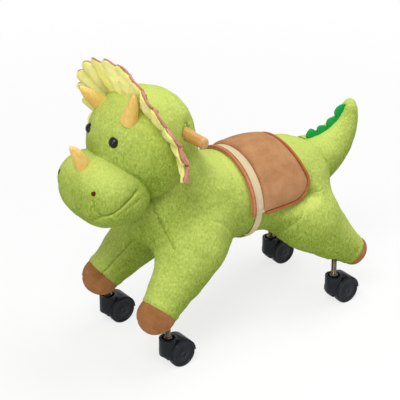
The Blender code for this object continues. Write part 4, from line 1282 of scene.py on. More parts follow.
@dataclass
class Leg:
    """A leg and its hoof: a swelling limb that flows into the barrel and ends in suede."""

    name: str
    front: bool
    side: int
    swell: float = 0.03
    round_share: float = 0.28
    hoof_fullness: float = 2.4
    seam: float = 227.0
    rows: int = 120
    columns: int = 200
    body: Optional[StuffedBody] = None

    @property
    def sizes(self) -> LegSizes:
        """The sizes of its pair."""
        return FRONT_LEGS if self.front else REAR_LEGS

    def line(self, count: int) -> tuple[Array, Array]:
        """The leg's middle line from hip to ankle and its radii there.

        Args:
            count: how many points to return.

        Returns:
            The points, and the radii.
        """
        turn = np.array([1.0, self.side, 1.0])
        start, end = (np.array(place) * turn for place in (self.sizes.hip, self.sizes.ankle))
        bow, (wide, slim) = self.sizes.bow, self.sizes.radii
        middle = (start + end) / 2 + np.array([0.0, self.side * abs(bow), 2 * bow])
        t = np.linspace(0.0, 1.0, count)
        radii = (wide + (slim - wide) * t) * (1 + self.swell * np.sin(math.pi * t))
        return bent(t, start, middle, end), radii * dome(t / self.round_share)

    def form(self) -> LimbForm:
        """The leg as a form that its neighbours fit themselves to."""
        line, radii = self.line(48)
        return LimbForm(line, np.maximum(radii, 0.001))

    def seam_column(self, columns: int) -> int:
        """The ring's point on the inner front of the leg, where its cloth is sewn together."""
        turn = self.seam if self.side > 0 else 360 - self.seam
        return int(round(turn / 360 * columns)) % columns

    def round_stem(self, cloth: Cloth, depth: float, width: float) -> None:
        """Draws the cloth in round the caster's stem."""
        low, high = ((STEM_X[self.front], self.side * STEM_SIDE, z) for z in (0.06, 0.14))
        cloth.dimple(low, high, STEM_RADIUS, depth, width)

    def build_leg(self) -> None:
        """The leg: its hip end pressed on the barrel, its ankle end turned in at the hoof's seam."""
        line, radii = self.line(self.rows)
        rings = rings_round(line[1:], radii[1:], self.columns)
        ankle = line[-1]
        ahead = unit(line[-1] - line[-2])
        last = 9
        swell = 0.03 * np.sin(np.linspace(0, math.pi, last))
        rings[-last:] = rings[-last:] + (rings[-last:] - line[-last:, None, :]) * swell[:, None, None]
        turn_in = np.array([0.9994, 0.985, 0.94])
        extra = ankle + ahead * np.array([0.0004, 0.0009, 0.0012])[:, None]
        rim = extra[:, None, :] + (rings[-1] - ankle)[None] * turn_in[:, None, None]
        cloth = Cloth(np.concatenate([rings, rim]))
        free = cloth.press(line[int(self.rows * 0.62)], TORSO, SNUG, 0.003)
        cloth.join(self.body, f"{self.name}_leg", free)
        cloth.sew_all(self.body.seams)
        first = self.seam_column(self.columns)
        cloth.sew(cloth.points[8::2, first].copy(), 0.0024, 0.0017)
        self.round_stem(cloth, 0.002, 0.004)
        cloth.ruffle(LUMPS, room=self.body.room)
        skin = Skin(cloth.points, size=(0.3, line_length(line)))
        piece(f"{self.name}_leg_plush", [skin], "leg_plush", "lime_plush", [f"{self.name}_leg"], fill=0.9)

    def build_hoof(self) -> None:
        """The hoof: a rounded suede toe with a seam round its sole and one up its middle."""
        line, _ = self.line(self.rows)
        ahead = unit(line[-1] - line[-2])
        size, length, row = self.sizes.radii[1], self.sizes.hoof, self.sizes.sole_row
        t = np.sin(np.linspace(0.0, math.pi / 2, 60)[:-1])
        reach = size * np.sqrt(1 - t**self.hoof_fullness) * (1 + self.swell * np.sin(math.pi * t))
        start = line[-1] + ahead * 0.0004
        tip = start + ahead * length
        middle = start + t[:, None] * length * ahead
        rings = rings_round(np.vstack([middle, tip]), np.append(reach, 0.0), 140)[:-1]
        rim = start + (rings[0] - start) * np.array([0.90, 0.965])[:, None, None] - ahead * 0.0002
        cloth = Cloth(np.concatenate([rim, rings]))
        first = self.seam_column(cloth.points.shape[1])
        cloth.sew(cloth.points[:34, first], 0.0007, 0.0010, 0.3, 0.005)
        ring = np.vstack([cloth.points[row], cloth.points[row, :1]])
        cloth.sew(ring, 0.0009, 0.0010, 0.3, 0.005)
        low = int(np.argmin(cloth.points[10, :, 2]))
        cloth.sew(cloth.points[row:, (low + first) // 2], 0.0006, 0.0009, 0.3, 0.005)
        self.round_stem(cloth, 0.0015, 0.003)
        cloth.ruffle(41 + 3 * self.front + self.side, 0.0005, 0.00006)
        skin = Skin(cloth.points, end=tip, size=(0.2, length * 1.5))
        name = f"{self.name}_hoof"
        piece(f"{name}_suede", [skin], "hoof_suede", "hoof_suede", [name], fill=0.9)

    def build(self) -> None:
        """The leg and its hoof."""
        self.build_leg()
        self.build_hoof()


@dataclass
class Tail:
    """The stuffed tail, curving up to a round tip, and the felt spikes on its top line."""

    body: StuffedBody
    root: Point = (0.180, 0.0, 0.2494)
    bend: Point = (0.285, 0.0, 0.2545)
    tip: Point = (0.3014, 0.0, 0.3518)
    root_radius: float = 0.052
    tip_radius: float = 0.012
    round_share: float = 0.10
    taper: float = 1.2
    spikes: int = 4
    spike_height: float = 0.0165
    spike_thickness: float = 0.005
    strip: float = 0.003
    first: float = 0.03
    last: float = 0.94

    def point(self, t: Array) -> Array:
        """Points of the middle line at shares of the way from the root to the tip."""
        return bent(t, *(np.array(place) for place in (self.root, self.bend, self.tip)))

    def radius(self, t: Array) -> Array:
        """The radius along the tail, closing in a round at the tip."""
        radius = self.root_radius + (self.tip_radius - self.root_radius) * t**self.taper
        return radius * dome((1 - t) / self.round_share)

    def build_tail(self) -> None:
        """The tail's skin: rings pressed on the barrel, with a seam underneath and one along its top."""
        columns = 120
        t = 1 - (1 - np.linspace(0.0, 1.0, 130)) ** 1.6
        cloth = Cloth(rings_round(self.point(t), self.radius(t), columns)[:-1])
        cloth.press(self.point(0.62), TORSO, SNUG, 0.0025)
        under = int(np.argmin(cloth.points[60, :, 2] - cloth.points[60, :, 0] * 0.6))
        cloth.sew(cloth.points[::2, under], 0.0009, 0.0014)
        cloth.sew(cloth.points[::2, (under + columns // 2) % columns], 0.0010, 0.0026)
        cloth.ruffle(LUMPS, room=self.body.room)
        tail = Skin(cloth.points, end=self.point(1.0), size=(0.2, 0.17))
        piece("tail_plush", [tail], "body_plush", "lime_plush", ["tail"], fill=0.9)

    def build_spikes(self) -> None:
        """The felt strip: at each place along the tail a thin section whose height follows the round scallops."""
        t = np.linspace(self.first, self.last, 400)
        here = self.point(t)
        ahead = unit(np.gradient(here, axis=0))
        up = np.stack([-ahead[:, 2], ahead[:, 0] * 0, ahead[:, 0]], -1)
        skin = here + up * (self.radius(t)[:, None] - 0.0004)
        root = skin - up * 0.002
        clear = TORSO.distance(root) > 0.0004
        skin, root, up = skin[clear], root[clear], up[clear]
        along = run(skin)
        wave = np.sqrt(np.abs(np.sin(math.pi * self.spikes * along / along[-1])))
        crest = skin + up * (self.strip + (self.spike_height - self.strip) * wave)[:, None]
        side = np.array([0.0, self.spike_thickness / 2, 0.0])
        half = [(0.0, -1.0), (0.5, -1.0), (0.9, -0.96), (1.0, -0.6)]
        profile = half + [(share, -out) for share, out in half[::-1]]
        rings = np.stack([root + (crest - root) * share + side * out for share, out in profile], 1)
        rings[..., 1] += 0.0006 * ripple(rings, 0.03, 91) * wave[:, None]
        strip = Skin(rings, size=(0.05, 0.15))
        piece("tail_spikes_felt", [strip], "spike_felt", "spike_felt", ["tail_spikes"], sharp=45.0)

    def build(self) -> None:
        """The tail and its spikes."""
        self.build_tail()
        self.build_spikes()


@dataclass
class Body:
    """The barrel and the neck with its hump, with a seam down each side of the chest."""

    body: StuffedBody
    chest_seam: tuple = (
        (-0.1840, -0.0240, 0.3190), (-0.1813, -0.0352, 0.3048), (-0.1762, -0.0481, 0.2800),
        (-0.1686, -0.0575, 0.2511), (-0.1621, -0.0684, 0.2267), (-0.1590, -0.0790, 0.2150),
    )

    def laid(self, points: Path, side: int, count: int) -> Array:
        """A smooth line through points given for the left side, laid on the soft body on one side or the other.

        Args:
            points: the points for the left side.
            side: -1 for the left, 1 for the right.
            count: how many points to return.

        Returns:
            The line's points.
        """
        line = curve_through(mirrored(points, side), count)
        for _ in range(6):
            line = line - self.body.outward(line) * self.body.level(line)[:, None]
        return line

    def build_torso(self) -> None:
        """The barrel: rings about its long axis, raised to its neighbours, with its seams sewn in."""
        rows, columns = 328, 300
        angle = (np.arange(rows) + 0.5) * (math.pi / rows)
        x = (TORSO.front + TORSO.rear) / 2 - np.cos(angle) * (TORSO.rear - TORSO.front) / 2
        degrees = np.arange(columns) * (360 / columns)
        cloth = Cloth(TORSO.skin(x[:, None], degrees[None, :]))
        cloth.join(self.body, "torso")
        cloth.sew_all(self.body.seams)
        cloth.sew(TORSO.skin(np.linspace(0.14, 0.20, 60), 0.0), 0.0008, 0.0014)
        cloth.ruffle(LUMPS, room=self.body.room)
        start, end = ((x, 0.0, TORSO.height) for x in (TORSO.front, TORSO.rear))
        torso = Skin(cloth.points, start=start, end=end, size=(0.53, 0.43))
        piece("torso_plush", [torso], "body_plush", "lime_plush", ["torso"], fill=0.9)

    def build_neck(self) -> None:
        """The neck: rings about its upright axis, pressed on the barrel, drawn in round the dowel."""
        centre = (-0.129, 0.0, 0.395)
        points = globe(centre, lambda heading: NECK.shell(np.array(centre), heading), 180, 210, 2)
        cloth = Cloth(points)
        free = cloth.press(centre, TORSO, SNUG, 0.004)
        cloth.join(self.body, "neck", free)
        cloth.join(NAPE, "neck")
        cloth.sew_all(self.body.seams)
        cloth.dowel_dimples(0.0032)
        cloth.ruffle(LUMPS, room=self.body.room)
        skin = Skin(cloth.points, size=(0.4, 0.3))
        piece("neck_plush", [skin], "body_plush", "lime_plush", ["neck"], fill=0.9)

    def build(self) -> None:
        """The barrel and the neck."""
        for side in (-1, 1):
            self.body.seams.append(self.laid(self.chest_seam, side, 200))
        self.build_torso()
        self.build_neck()


@dataclass
class Head:
    """The stuffed head with its muzzle, face and horns."""

    horn_length: float = 0.054
    horn_width: float = 0.029
    horn_side: float = 0.043
    horn_rise: float = 0.0708
    horn_leans: tuple = (("left", -1, 24.0, 5.0, (0.55, 0.0, 0.1)), ("right", 1, 2.0, 45.0, (0.0, 0.0, -0.5)))
    nose_length: float = 0.045
    nose_width: float = 0.028
    nose_rise: float = 0.052
    nose_lean: float = 30.0
    sink: float = 0.008
    fullness: float = 2.6
    taper: float = 0.35
    eye_width: float = 0.0205
    eye_out: float = 0.0052
    eye_side: float = 0.0368
    eye_rise: float = 0.0335
    smile: tuple = (
        (-0.2885, -0.0620, 0.3150), (-0.2766, -0.0729, 0.3197), (-0.2618, -0.0806, 0.3300),
        (-0.2440, -0.0822, 0.3415), (-0.2325, -0.0790, 0.3490),
    )
    lip: tuple = (
        (-0.3040, 0.0, 0.2950), (-0.3010, -0.0252, 0.2965), (-0.2965, -0.0440, 0.3030), (-0.2885, -0.0620, 0.3150),
    )
    cheek: tuple = ((-0.2989, -0.0499, 0.3400), (-0.2960, -0.0550, 0.3245), (-0.2885, -0.0620, 0.3150))
    chin: tuple = ((-0.2737, -0.0732, 0.3124), (-0.2536, -0.0819, 0.3210), (-0.2290, -0.0800, 0.3334))
    dart: tuple = ((-0.2490, -0.0450, 0.4120), (-0.2410, -0.0510, 0.4290), (-0.2290, -0.0550, 0.4430))
    brow: tuple = (
        (-0.2100, 0.0330, 0.4780), (-0.2229, 0.0300, 0.4660), (-0.2364, 0.0212, 0.4596), (-0.2500, 0.0080, 0.4464),
    )
    nose: tuple = ((-0.2950, 0.0, 0.3720), (-0.3090, 0.0, 0.3550), (-0.3120, 0.0, 0.3320), (-0.3040, 0.0, 0.2950))
    nostril: Point = (-0.2952, -0.0500, 0.3530)

    def seam_lines(self) -> list[tuple[Array, float, float]]:
        """The head's seams as lines on its surface, each with a depth and a width.

        Returns:
            A line, a depth and a width for each.
        """
        lines = [(HEAD.onto(self.nose, 120), 0.0007, 0.0014)]
        for side in (-1, 1):
            for points, depth, width in (
                (self.smile, 0.0032, 0.0023), (self.lip, 0.0026, 0.0021), (self.cheek, 0.0024, 0.0020),
                (self.chin, 0.0012, 0.0030), (self.dart, 0.0007, 0.0013), (self.brow, 0.0007, 0.0013),
            ):
                lines.append((HEAD.onto(mirrored(points, side), 140), depth, width))
        return lines

    def build_head(self) -> None:
        """The head: rings about its long axis at the reach of its two eggs, pressed on the neck and the barrel."""
        centre = np.array(HEAD.middle)
        cloth = Cloth(globe(centre, HEAD.reach, 230, 300, 0))
        past_frill = -0.34
        free = cloth.press(cloth.points * [0.0, 1.0, 1.0] + [past_frill, 0.0, 0.0], NECK, SNUG, 0.002)
        cloth.join(NAPE, "head", free)
        cloth.press(centre, TORSO, SNUG, 0.005)
        for line, depth, width in self.seam_lines():
            cloth.sew(line, depth, width)
        cloth.dowel_dimples(0.0024)
        for side in (-1, 1):
            gap = np.linalg.norm(cloth.points - self.eye_place(side)[0], axis=-1)
            cloth.swell(-0.0006 * np.exp(-((gap / 0.0125) ** 2)))
        cloth.ruffle(LUMPS, 0.0007)
        skin = Skin(cloth.points, size=(0.6, 0.3))
        piece("head_plush", [skin], "body_plush", "lime_plush", ["head"], fill=0.9)

    def eye_place(self, side: int) -> tuple[Array, Array]:
        """The middle of an eye on the skull's surface, and its outward direction.

        Args:
            side: -1 for the left, 1 for the right.

        Returns:
            The place and the direction.
        """
        skull = HEAD.skull
        centre, half = np.array(skull.centre), np.array(skull.half)
        share = 1 - (self.eye_side / half[1]) ** 2 - (self.eye_rise / half[2]) ** 2
        spot = centre + np.array([-half[0] * math.sqrt(share), side * self.eye_side, self.eye_rise])
        return spot, unit((spot - centre) / half**2)

    def build_eyes(self) -> None:
        """Two glossy domes: circles whose radius and height are the cosine and the sine of an angle."""
        for word, side in SIDES:
            spot, out = self.eye_place(side)
            radius = self.eye_width / 2
            base = spot - out * (radius - self.eye_out)
            angle = np.linspace(-0.35, math.pi / 2 - 0.03, 30)
            dome = rings_round(base + out * (radius * np.sin(angle))[:, None], radius * np.cos(angle), 56)
            skin = Skin(dome, end=base + out * radius)
            piece(f"eye_{word}_dome", [skin], "eye_gloss", "eye_gloss", [f"eye_{word}"])

    def build_face(self) -> None:
        """The nostrils, satin stitched in maroon, and the thread of the smile."""
        centre = np.array(HEAD.middle)
        skins = []
        for side in (-1, 1):
            spot = np.array(mirrored([self.nostril], side)[0])
            heading = unit(spot - centre)
            spot = centre + heading * (HEAD.reach(heading[None])[0] + 0.0001)
            out = unit(spot - np.array(HEAD.muzzle.centre))
            across = unit(np.cross(out, UP))
            up = np.cross(across, out)
            for row in np.linspace(-1.0, 1.0, 10):
                half = 0.0047 * math.sqrt(1.03 - row * row)
                t = np.linspace(-1.0, 1.0, 9)[:, None]
                path = spot + up * row * 0.0040 + across * half * t + out * (0.0008 - 0.0011 * t**2 - 0.0004 * row**2)
                skins.append(tube(path, 0.00055, 6, up))
        piece("nostril_stitches", skins, "maroon_thread", "lime_plush")
        mouth = []
        for side in (-1, 1):
            for points, depth in ((self.smile, 0.0031), (self.cheek, 0.0024)):
                line = HEAD.onto(mirrored(points, side), 90)
                out = unit(line - np.array(HEAD.muzzle.centre))
                mouth.extend(stitches(line - out * depth, out, 0.0040, 0.0046, 0.00032, 0.0002))
        piece("smile_stitches", mouth, "mouth_thread", "lime_plush")

    def horn_skin(self, base: Array, way: Array, bow: Array, length: float, width: float, seed: int) -> Skin:
        """A horn: circles along its bowed line, full near the base and rounded at the tip, with a seam up one side.

        Args:
            base: its foot on the head.
            way: its direction.
            bow: which way it bows.
            length: its length.
            width: its greatest width.
            seed: the number that fixes its lumps.

        Returns:
            The horn's skin.
        """
        t = (1 - np.cos(np.linspace(0.0, 1.0, 60) * math.pi)) / 2
        line = base - way * self.sink + way * ((length + self.sink) * t)[:, None]
        line = line + np.asarray(bow) * (0.009 * (t * (1 - t)))[:, None] * 2
        radii = width / 2 * np.sqrt(np.maximum(1 - t**self.fullness, 0.0)) * (1 - self.taper * t)
        cloth = Cloth(rings_round(line, radii, 64)[:-1])
        cloth.sew(cloth.points[:, 8], 0.0005, 0.0010, 0.4, 0.006)
        cloth.ruffle(seed, 0.0005, 0.00006)
        return Skin(cloth.points, end=line[-1], size=(width * 3, length))

    def build_horns(self) -> None:
        """The two brow horns and the nose horn."""
        skull, muzzle = HEAD.skull, HEAD.muzzle
        share = 1 - (self.horn_side / skull.half[1]) ** 2 - (self.horn_rise / skull.half[2]) ** 2
        front = skull.centre[0] - skull.half[0] * math.sqrt(share)
        for word, side, spread, forward, bow in self.horn_leans:
            base = np.array([front, side * self.horn_side, skull.centre[2] + self.horn_rise])
            way = unit(np.array([-math.tan(math.radians(forward)), side * math.tan(math.radians(spread)), 1.0]))
            horn = self.horn_skin(base, way, bow, self.horn_length, self.horn_width, 61 + side)
            name = f"brow_horn_{word}"
            piece(f"{name}_plush", [horn], "horn_plush", "horn_plush", [name], fill=0.9)
        back = math.sqrt(1 - (self.nose_rise / muzzle.half[2]) ** muzzle.fullness)
        base = np.array([muzzle.centre[0] - muzzle.half[0] * back, 0.0, muzzle.centre[2] + self.nose_rise])
        lean = math.radians(self.nose_lean)
        way = np.array([-math.sin(lean), 0.0, math.cos(lean)])
        horn = self.horn_skin(base, way, (0.3, 0.0, 0.2), self.nose_length, self.nose_width, 65)
        piece("nose_horn_plush", [horn], "horn_plush", "horn_plush", ["nose_horn"], fill=0.9)

    def build(self) -> None:
        """The head with all that is on it."""
        self.build_head()
        self.build_eyes()
        self.build_face()
        self.build_horns()


@dataclass
class Frill:
    """The scalloped frill: a velour front with stitched pleats and a napped back rolled over its edge."""

    lobes: int = 14
    span: float = 214.0
    height: float = 0.405
    inner_x: float = -0.162
    inner_radius: float = 0.0855
    inner_tilt: float = 29.0
    outer_x: float = -0.179
    half_width: float = 0.1490
    top: float = 0.5497
    outer_tilt: float = 16.0
    scallop: float = 0.012
    lobe_fullness: float = 0.75
    puff: float = 0.0055
    edge_share: float = 0.78
    cup: float = 0.012
    curl: float = 0.006
    thin: float = 0.42
    front_thickness: float = 0.006
    back_thickness: float = 0.005
    roll: float = 0.0038
    gap: float = 0.0008
    steps: int = 36

    def place(self, degrees: Array, share: Array, depth: Array) -> Array:
        """Points of the frill.

        Between the seam on the head and the scalloped edge a point lies at a share of the way; past 1 the share
        adds metres. The edge draws in between two lobes, the front puffs up in the middle of each, the seam gathers
        it, and the whole edge sways forwards and back and curls forwards at the sides.

        Args:
            degrees: the angle from the top.
            share: the share of the way out.
            depth: how far behind the front face.

        Returns:
            The points.
        """
        depth = depth * (1 - self.thin * ease((share - 0.6) / 0.4) * (1 - ease((np.abs(degrees) - 55) / 30)))
        angle = np.radians(degrees)
        cos, sin = np.cos(angle), np.sin(angle)
        tilt = math.radians(self.inner_tilt)
        inner = np.stack([
            self.inner_x - self.inner_radius * cos * math.sin(tilt),
            self.inner_radius * sin,
            self.height + self.inner_radius * cos * math.cos(tilt),
        ], -1)
        rise = (self.top - self.roll - self.height) * cos
        outer = np.stack([
            self.outer_x - rise * math.tan(math.radians(self.outer_tilt)) - self.cup * np.abs(np.sin(2 * angle)),
            (self.half_width - self.roll) * sin,
            self.height + rise,
        ], -1)
        outward = unit(outer - inner)
        lobe = np.abs(np.sin(math.pi * (degrees + self.span / 2) / (self.span / self.lobes)))
        outer = outer - outward * (self.scallop * (1 - lobe**self.lobe_fullness))[..., None]
        round_way = np.stack([0 * cos, cos, -sin], -1)
        forward = unit(np.cross(outward, round_way))
        puffed = self.puff * lobe * np.sin(math.pi * np.minimum(share, self.edge_share))
        crease = -0.0018 * np.exp(-((lobe / 0.12) ** 2)) * ease(share / 0.08)
        gather = 0.0007 * np.cos(degrees * 1.9) * np.exp(-((share / 0.22) ** 2))
        flop = 0.0022 * np.sin(degrees * 0.115 + 0.6) + 0.0012 * np.sin(degrees * 0.31 + 2.0)
        droop = (flop + self.curl * ease((np.abs(degrees) - 45) / 50)) * np.minimum(share, 1.0) ** 2
        lift = (puffed + crease + gather + droop - depth)[..., None]
        spot = inner + (outer - inner) * np.minimum(share, 1.0)[..., None] + forward * lift
        return spot + outward * (np.maximum(share - 1.0, 0.0))[..., None]

    def build_cloth(self, name: str, near: Array, edge: Path, far: Array, reliefs: tuple, **dress: object) -> None:
        """One of the two cloths: a section of shares and depths at every angle, rumpled.

        Args:
            name: its name.
            near: the depth of its front face from the seam to the edge.
            edge: a share and a depth for each point of its edge.
            far: the depth of its back face from the seam to the edge.
            reliefs: its two reliefs, as for rumple.
            dress: its finish, slot and fill.
        """
        out = self.ways()
        section = np.vstack([np.stack([out, near], 1), edge, np.stack([out, far], 1)[::-1]])
        angles = np.linspace(-self.span / 2, self.span / 2, self.lobes * 20 + 1)
        degrees, share = np.meshgrid(angles, section[:, 0], indexing="ij")
        cloth = Cloth(self.place(degrees, share, np.broadcast_to(section[:, 1], share.shape)))
        cloth.rumple(*reliefs)
        piece(name, [Skin(cloth.points, size=(0.2, 0.5))], stands_for=[name.rpartition("_")[0]], **dress)

    def ways(self) -> Array:
        """The shares of the way from the seam to the edge at which a section has points."""
        return np.linspace(0.0, 1.0, self.steps)

    def thinned(self) -> Array:
        """How much thinner the front cloth is at each of the ways: 1.4 mm at its edge."""
        return 0.0014 * ease((self.ways() - 0.85) / 0.15)

    def build_front(self) -> None:
        """The velour front, puffed between its pleats and round at its edge."""
        edge = [(1.0016, 0.0004), (1.0026, 0.0014), (1.0028, 0.0026), (1.0020, 0.0038), (1.0006, 0.0045)]
        far = self.front_thickness - self.thinned()
        reliefs = (0.0006, 0.018, 81), (0.00025, 0.007, 82)
        dress = {"finish": "frill_velour", "slot": "frill_velour", "fill": 0.5}
        self.build_cloth("frill_front_velour", 0 * far, edge, far, reliefs, **dress)

    def build_back(self) -> None:
        """The napped back, with a round bead where it is rolled over the edge."""
        close = self.front_thickness + self.gap - self.thinned()
        far = self.front_thickness + self.gap + self.back_thickness
        middle, half = (far + close[-1]) / 2, (far - close[-1]) / 2 + 0.0002
        turn = np.linspace(0.25, math.pi - 0.1, 12)
        bead = np.stack([1.0 + 0.0003 + self.roll * 0.9 * np.sin(turn), middle + half * np.cos(turn)], 1)
        reliefs = (0.0005, 0.014, 84), (0.0002, 0.006, 85)
        dress = {"finish": "frill_back_nap", "slot": "frill_back_cloth", "fill": 0.4}
        self.build_cloth("frill_back_cloth", far + 0 * close, bead, close, reliefs, **dress)

    def build_pleats(self) -> None:
        """The thread in the pleats between the lobes."""
        threads = []
        share = np.linspace(0.12, 0.94, 40)
        for number in range(1, self.lobes):
            degrees = np.full(len(share), -self.span / 2 + number * (self.span / self.lobes))
            line = self.place(degrees, share, np.full(len(share), 0.0))
            out = unit(self.place(degrees, share, np.full(len(share), -0.001)) - line)
            threads.extend(stitches(line + out * 0.0001, out, 0.0034, 0.0042, 0.00035, 0.0002))
        piece("frill_pleat_stitches", threads, "olive_thread", "frill_velour")

    def build(self) -> None:
        """Both cloths and the pleats' thread."""
        self.build_front()
        self.build_back()
        self.build_pleats()


# ---- saddle, strap and handle


@dataclass
class Saddle:
    """The suede saddle with its piping, the double piped band and the girth strap with its keepers."""

    front: float = 0.0278
    rear: float = 0.116
    drop: float = 95.0
    thickness: float = 0.006
    crown: float = 0.004
    corner: float = 0.030
    corner_drop: float = 24.0
    bulge: float = 0.016
    soft: float = 0.12
    edge_share: float = 0.55
    skin_gap: float = 0.0012
    fit_gap: float = 0.0004
    cloth_gap: float = 0.0008
    piping: float = 0.0055
    band_middle: float = 0.0041
    band_width: float = 0.009
    band_thickness: float = 0.0056
    band_drop: float = 96.0
    strap_middle: float = 0.018
    strap_widths: tuple[float, float] = (0.018, 0.014)
    strap_thickness: float = 0.0022
    keeper_angle: float = 93.0
    keeper_width: float = 0.006
    keeper_thickness: float = 0.0016

    def room(self, points: Array) -> Array:
        """How freely the body's cloth may swell: 0 under the saddle, band and strap, 1 a little way off.

        It is a quarter of a sine wave of the distance from the saddle's patch, or a soft step of that from the belt
        that the strap covers.

        Args:
            points: where to read it.

        Returns:
            A share from 0 to 1 for each point.
        """
        x = points[..., 0]
        t = TORSO.share(x)
        up = (points[..., 2] - TORSO.height - TORSO.lift(t)) / TORSO.half_height
        across = np.abs(points[..., 1]) / TORSO.half_width
        degrees = np.degrees(np.arctan2(across, up))
        rear = self.rear + self.bulge * (degrees / self.drop) ** 2 + self.piping
        front = self.band_middle - self.band_width / 2
        along = np.maximum(np.maximum(front - x, x - rear), 0.0)
        below = np.radians(np.maximum(degrees - self.drop - 4, 0.0)) * TORSO.half_width
        size = np.sqrt(np.maximum(1 - np.abs(t) ** TORSO.fullness, 0.0))
        above = np.maximum((np.hypot(across, up) - size) * TORSO.half_width - 0.009, 0.0)
        beside = np.sin(np.clip(np.sqrt(along**2 + below**2 + above**2) / 0.026, 0.0, 1.0) * math.pi / 2)
        belt = np.hypot(np.maximum(np.abs(x - self.strap_middle) - self.strap_widths[1] / 2, 0.0), above)
        return np.minimum(beside, ease(belt / 0.012))

    def outline(self, share: Array) -> Array:
        """How far down each side the saddle reaches, in degrees, at a share of its length.

        Args:
            share: the places along the saddle, from 0 to 1.

        Returns:
            The angles.
        """
        corner = self.corner / (self.rear - self.front)
        past = np.clip((share - (1 - corner)) / corner, 0.0, 1.0)
        return self.drop - self.corner_drop * (1 - np.sqrt(1 - past**2))

    def reach(self, share: Array, across: Array) -> Array:
        """Where along the body a point of the saddle lies: its rear edge bulges back at the sides."""
        return self.front + (self.rear - self.front + self.bulge * across**2) * share

    def top_out(self, share: Array, across: Array) -> Array:
        """How far outside the body the saddle's upper face lies: thin at the edges, crowned in the middle.

        Args:
            share: the places along the saddle, from 0 to 1.
            across: the places across it, from -1 to 1.

        Returns:
            The heights above the body.
        """
        ends = np.minimum(1.0, np.minimum(share, 1 - share) / self.soft)
        sides = np.minimum(1.0, (1 - np.abs(across)) / self.soft)
        crown = self.crown * np.sin(math.pi * share) * np.cos(across * math.pi / 2)
        full = np.sin(np.minimum(ends, 1.0) * math.pi / 2) * np.sin(sides * math.pi / 2)
        rolled = 0.0016 * np.exp(-(((share - 0.06) / 0.06) ** 2)) * np.sin(sides * math.pi / 2)
        return self.skin_gap + self.thickness * (self.edge_share + (1 - self.edge_share) * full) + crown + rolled

    def build_pad(self) -> None:
        """The pad: rows from front to rear, each a closed ring over the top and back underneath."""
        share = np.concatenate([[0.0, 0.003, 0.008, 0.015], np.linspace(0.025, 0.985, 96), [0.992, 0.997, 1.0]])
        inset = 0.985
        across = np.sin(np.linspace(-1.0, 1.0, 220) * math.pi / 2 * inset) / math.sin(math.pi / 2 * inset)
        u, v = np.meshgrid(share, across, indexing="ij")
        x, degrees = self.reach(u, np.abs(v)), v * self.outline(u)
        top = self.top_out(u, v)
        edge = np.minimum(np.minimum(u, 1 - u) * 0.09, (1 - np.abs(v)) * 0.13)
        top = self.skin_gap + (top - self.skin_gap) * (0.35 + 0.65 * np.sqrt(np.clip(edge / 0.0016, 0.0, 1.0)))
        over = TORSO.skin(x, degrees, top)
        under = TORSO.skin(x, degrees, self.skin_gap)
        wrinkle = np.cos(x * 520 + 1.6 * np.sin(degrees * 0.07)) * np.exp(-(((np.abs(degrees) - 78) / 16) ** 2))
        relief = 0.0005 * ripple(over, 0.045, 101) + 0.00022 * ripple(over, 0.016, 102) + 0.00022 * wrinkle
        over = over + TORSO.out(x, degrees) * (relief * ease(edge / 0.004))[..., None]
        rings = np.concatenate([over, under[:, ::-1]], axis=1)
        skin = Skin(rings, size=(0.3, 0.12))
        piece("saddle_pad", [skin], "saddle_suede", "saddle_suede", ["saddle"], fill=0.7)

    def edge_line(self) -> tuple[Array, Array]:
        """The saddle's lower and rear edge from the strap round to the strap, and the outward direction there.

        Returns:
            The edge's points, and a direction of length one for each.
        """
        start = self.piping / 2 / (self.rear - self.front)
        share = np.concatenate([np.linspace(start, 0.64, 40), 1 - 0.36 * (1 - np.linspace(0.02, 1.0, 70)) ** 1.5])
        side = np.stack([self.reach(share, 1.0), self.outline(share)], 1)
        across = np.linspace(-1.0, 1.0, 140)[1:-1]
        rear = np.stack([self.reach(1.0, np.abs(across)), across * self.outline(np.array(1.0))], 1)
        x, degrees = np.vstack([side * [1, -1], rear, side[::-1]]).T
        return TORSO.skin(x, degrees, self.skin_gap + self.piping / 2), TORSO.out(x, degrees)

    def build_piping(self) -> None:
        """The piping: a round cord in suede just outside the saddle's edge, with its line of stitches."""
        line, out = self.edge_line()
        ahead = unit(np.gradient(line, axis=0))
        away = unit(np.cross(ahead, out))
        cord = line + away * (self.piping / 2 + self.cloth_gap)
        padded = np.pad(cord, ((3, 3), (0, 0)), mode="edge")
        cord = np.stack([np.convolve(padded[:, k], np.ones(7) / 7, "valid") for k in range(3)], 1)
        swell = self.piping / 2 * (1 + 0.03 * np.cos(np.arange(len(cord)) * 1.3))
        skin = tube(cord, swell, 20, out)
        piece("saddle_piping_cord", [skin], "piping_suede", "piping_suede", ["saddle_piping"], fill=0.9)
        seam = line - away * 0.0042 + out * 0.0012
        rows = stitches(seam, out, 0.0026, 0.0036, 0.00038, 0.0002)
        piece("saddle_edge_stitches", rows, "brown_thread", "piping_suede")

    def strap_half(self, degrees: Array) -> Array:
        """Half the strap's width: wide over the back, narrower under the belly, changing under the keepers."""
        wide, narrow = self.strap_widths
        return (wide + (narrow - wide) * ease((np.abs(degrees) - self.keeper_angle) / 2.5)) / 2

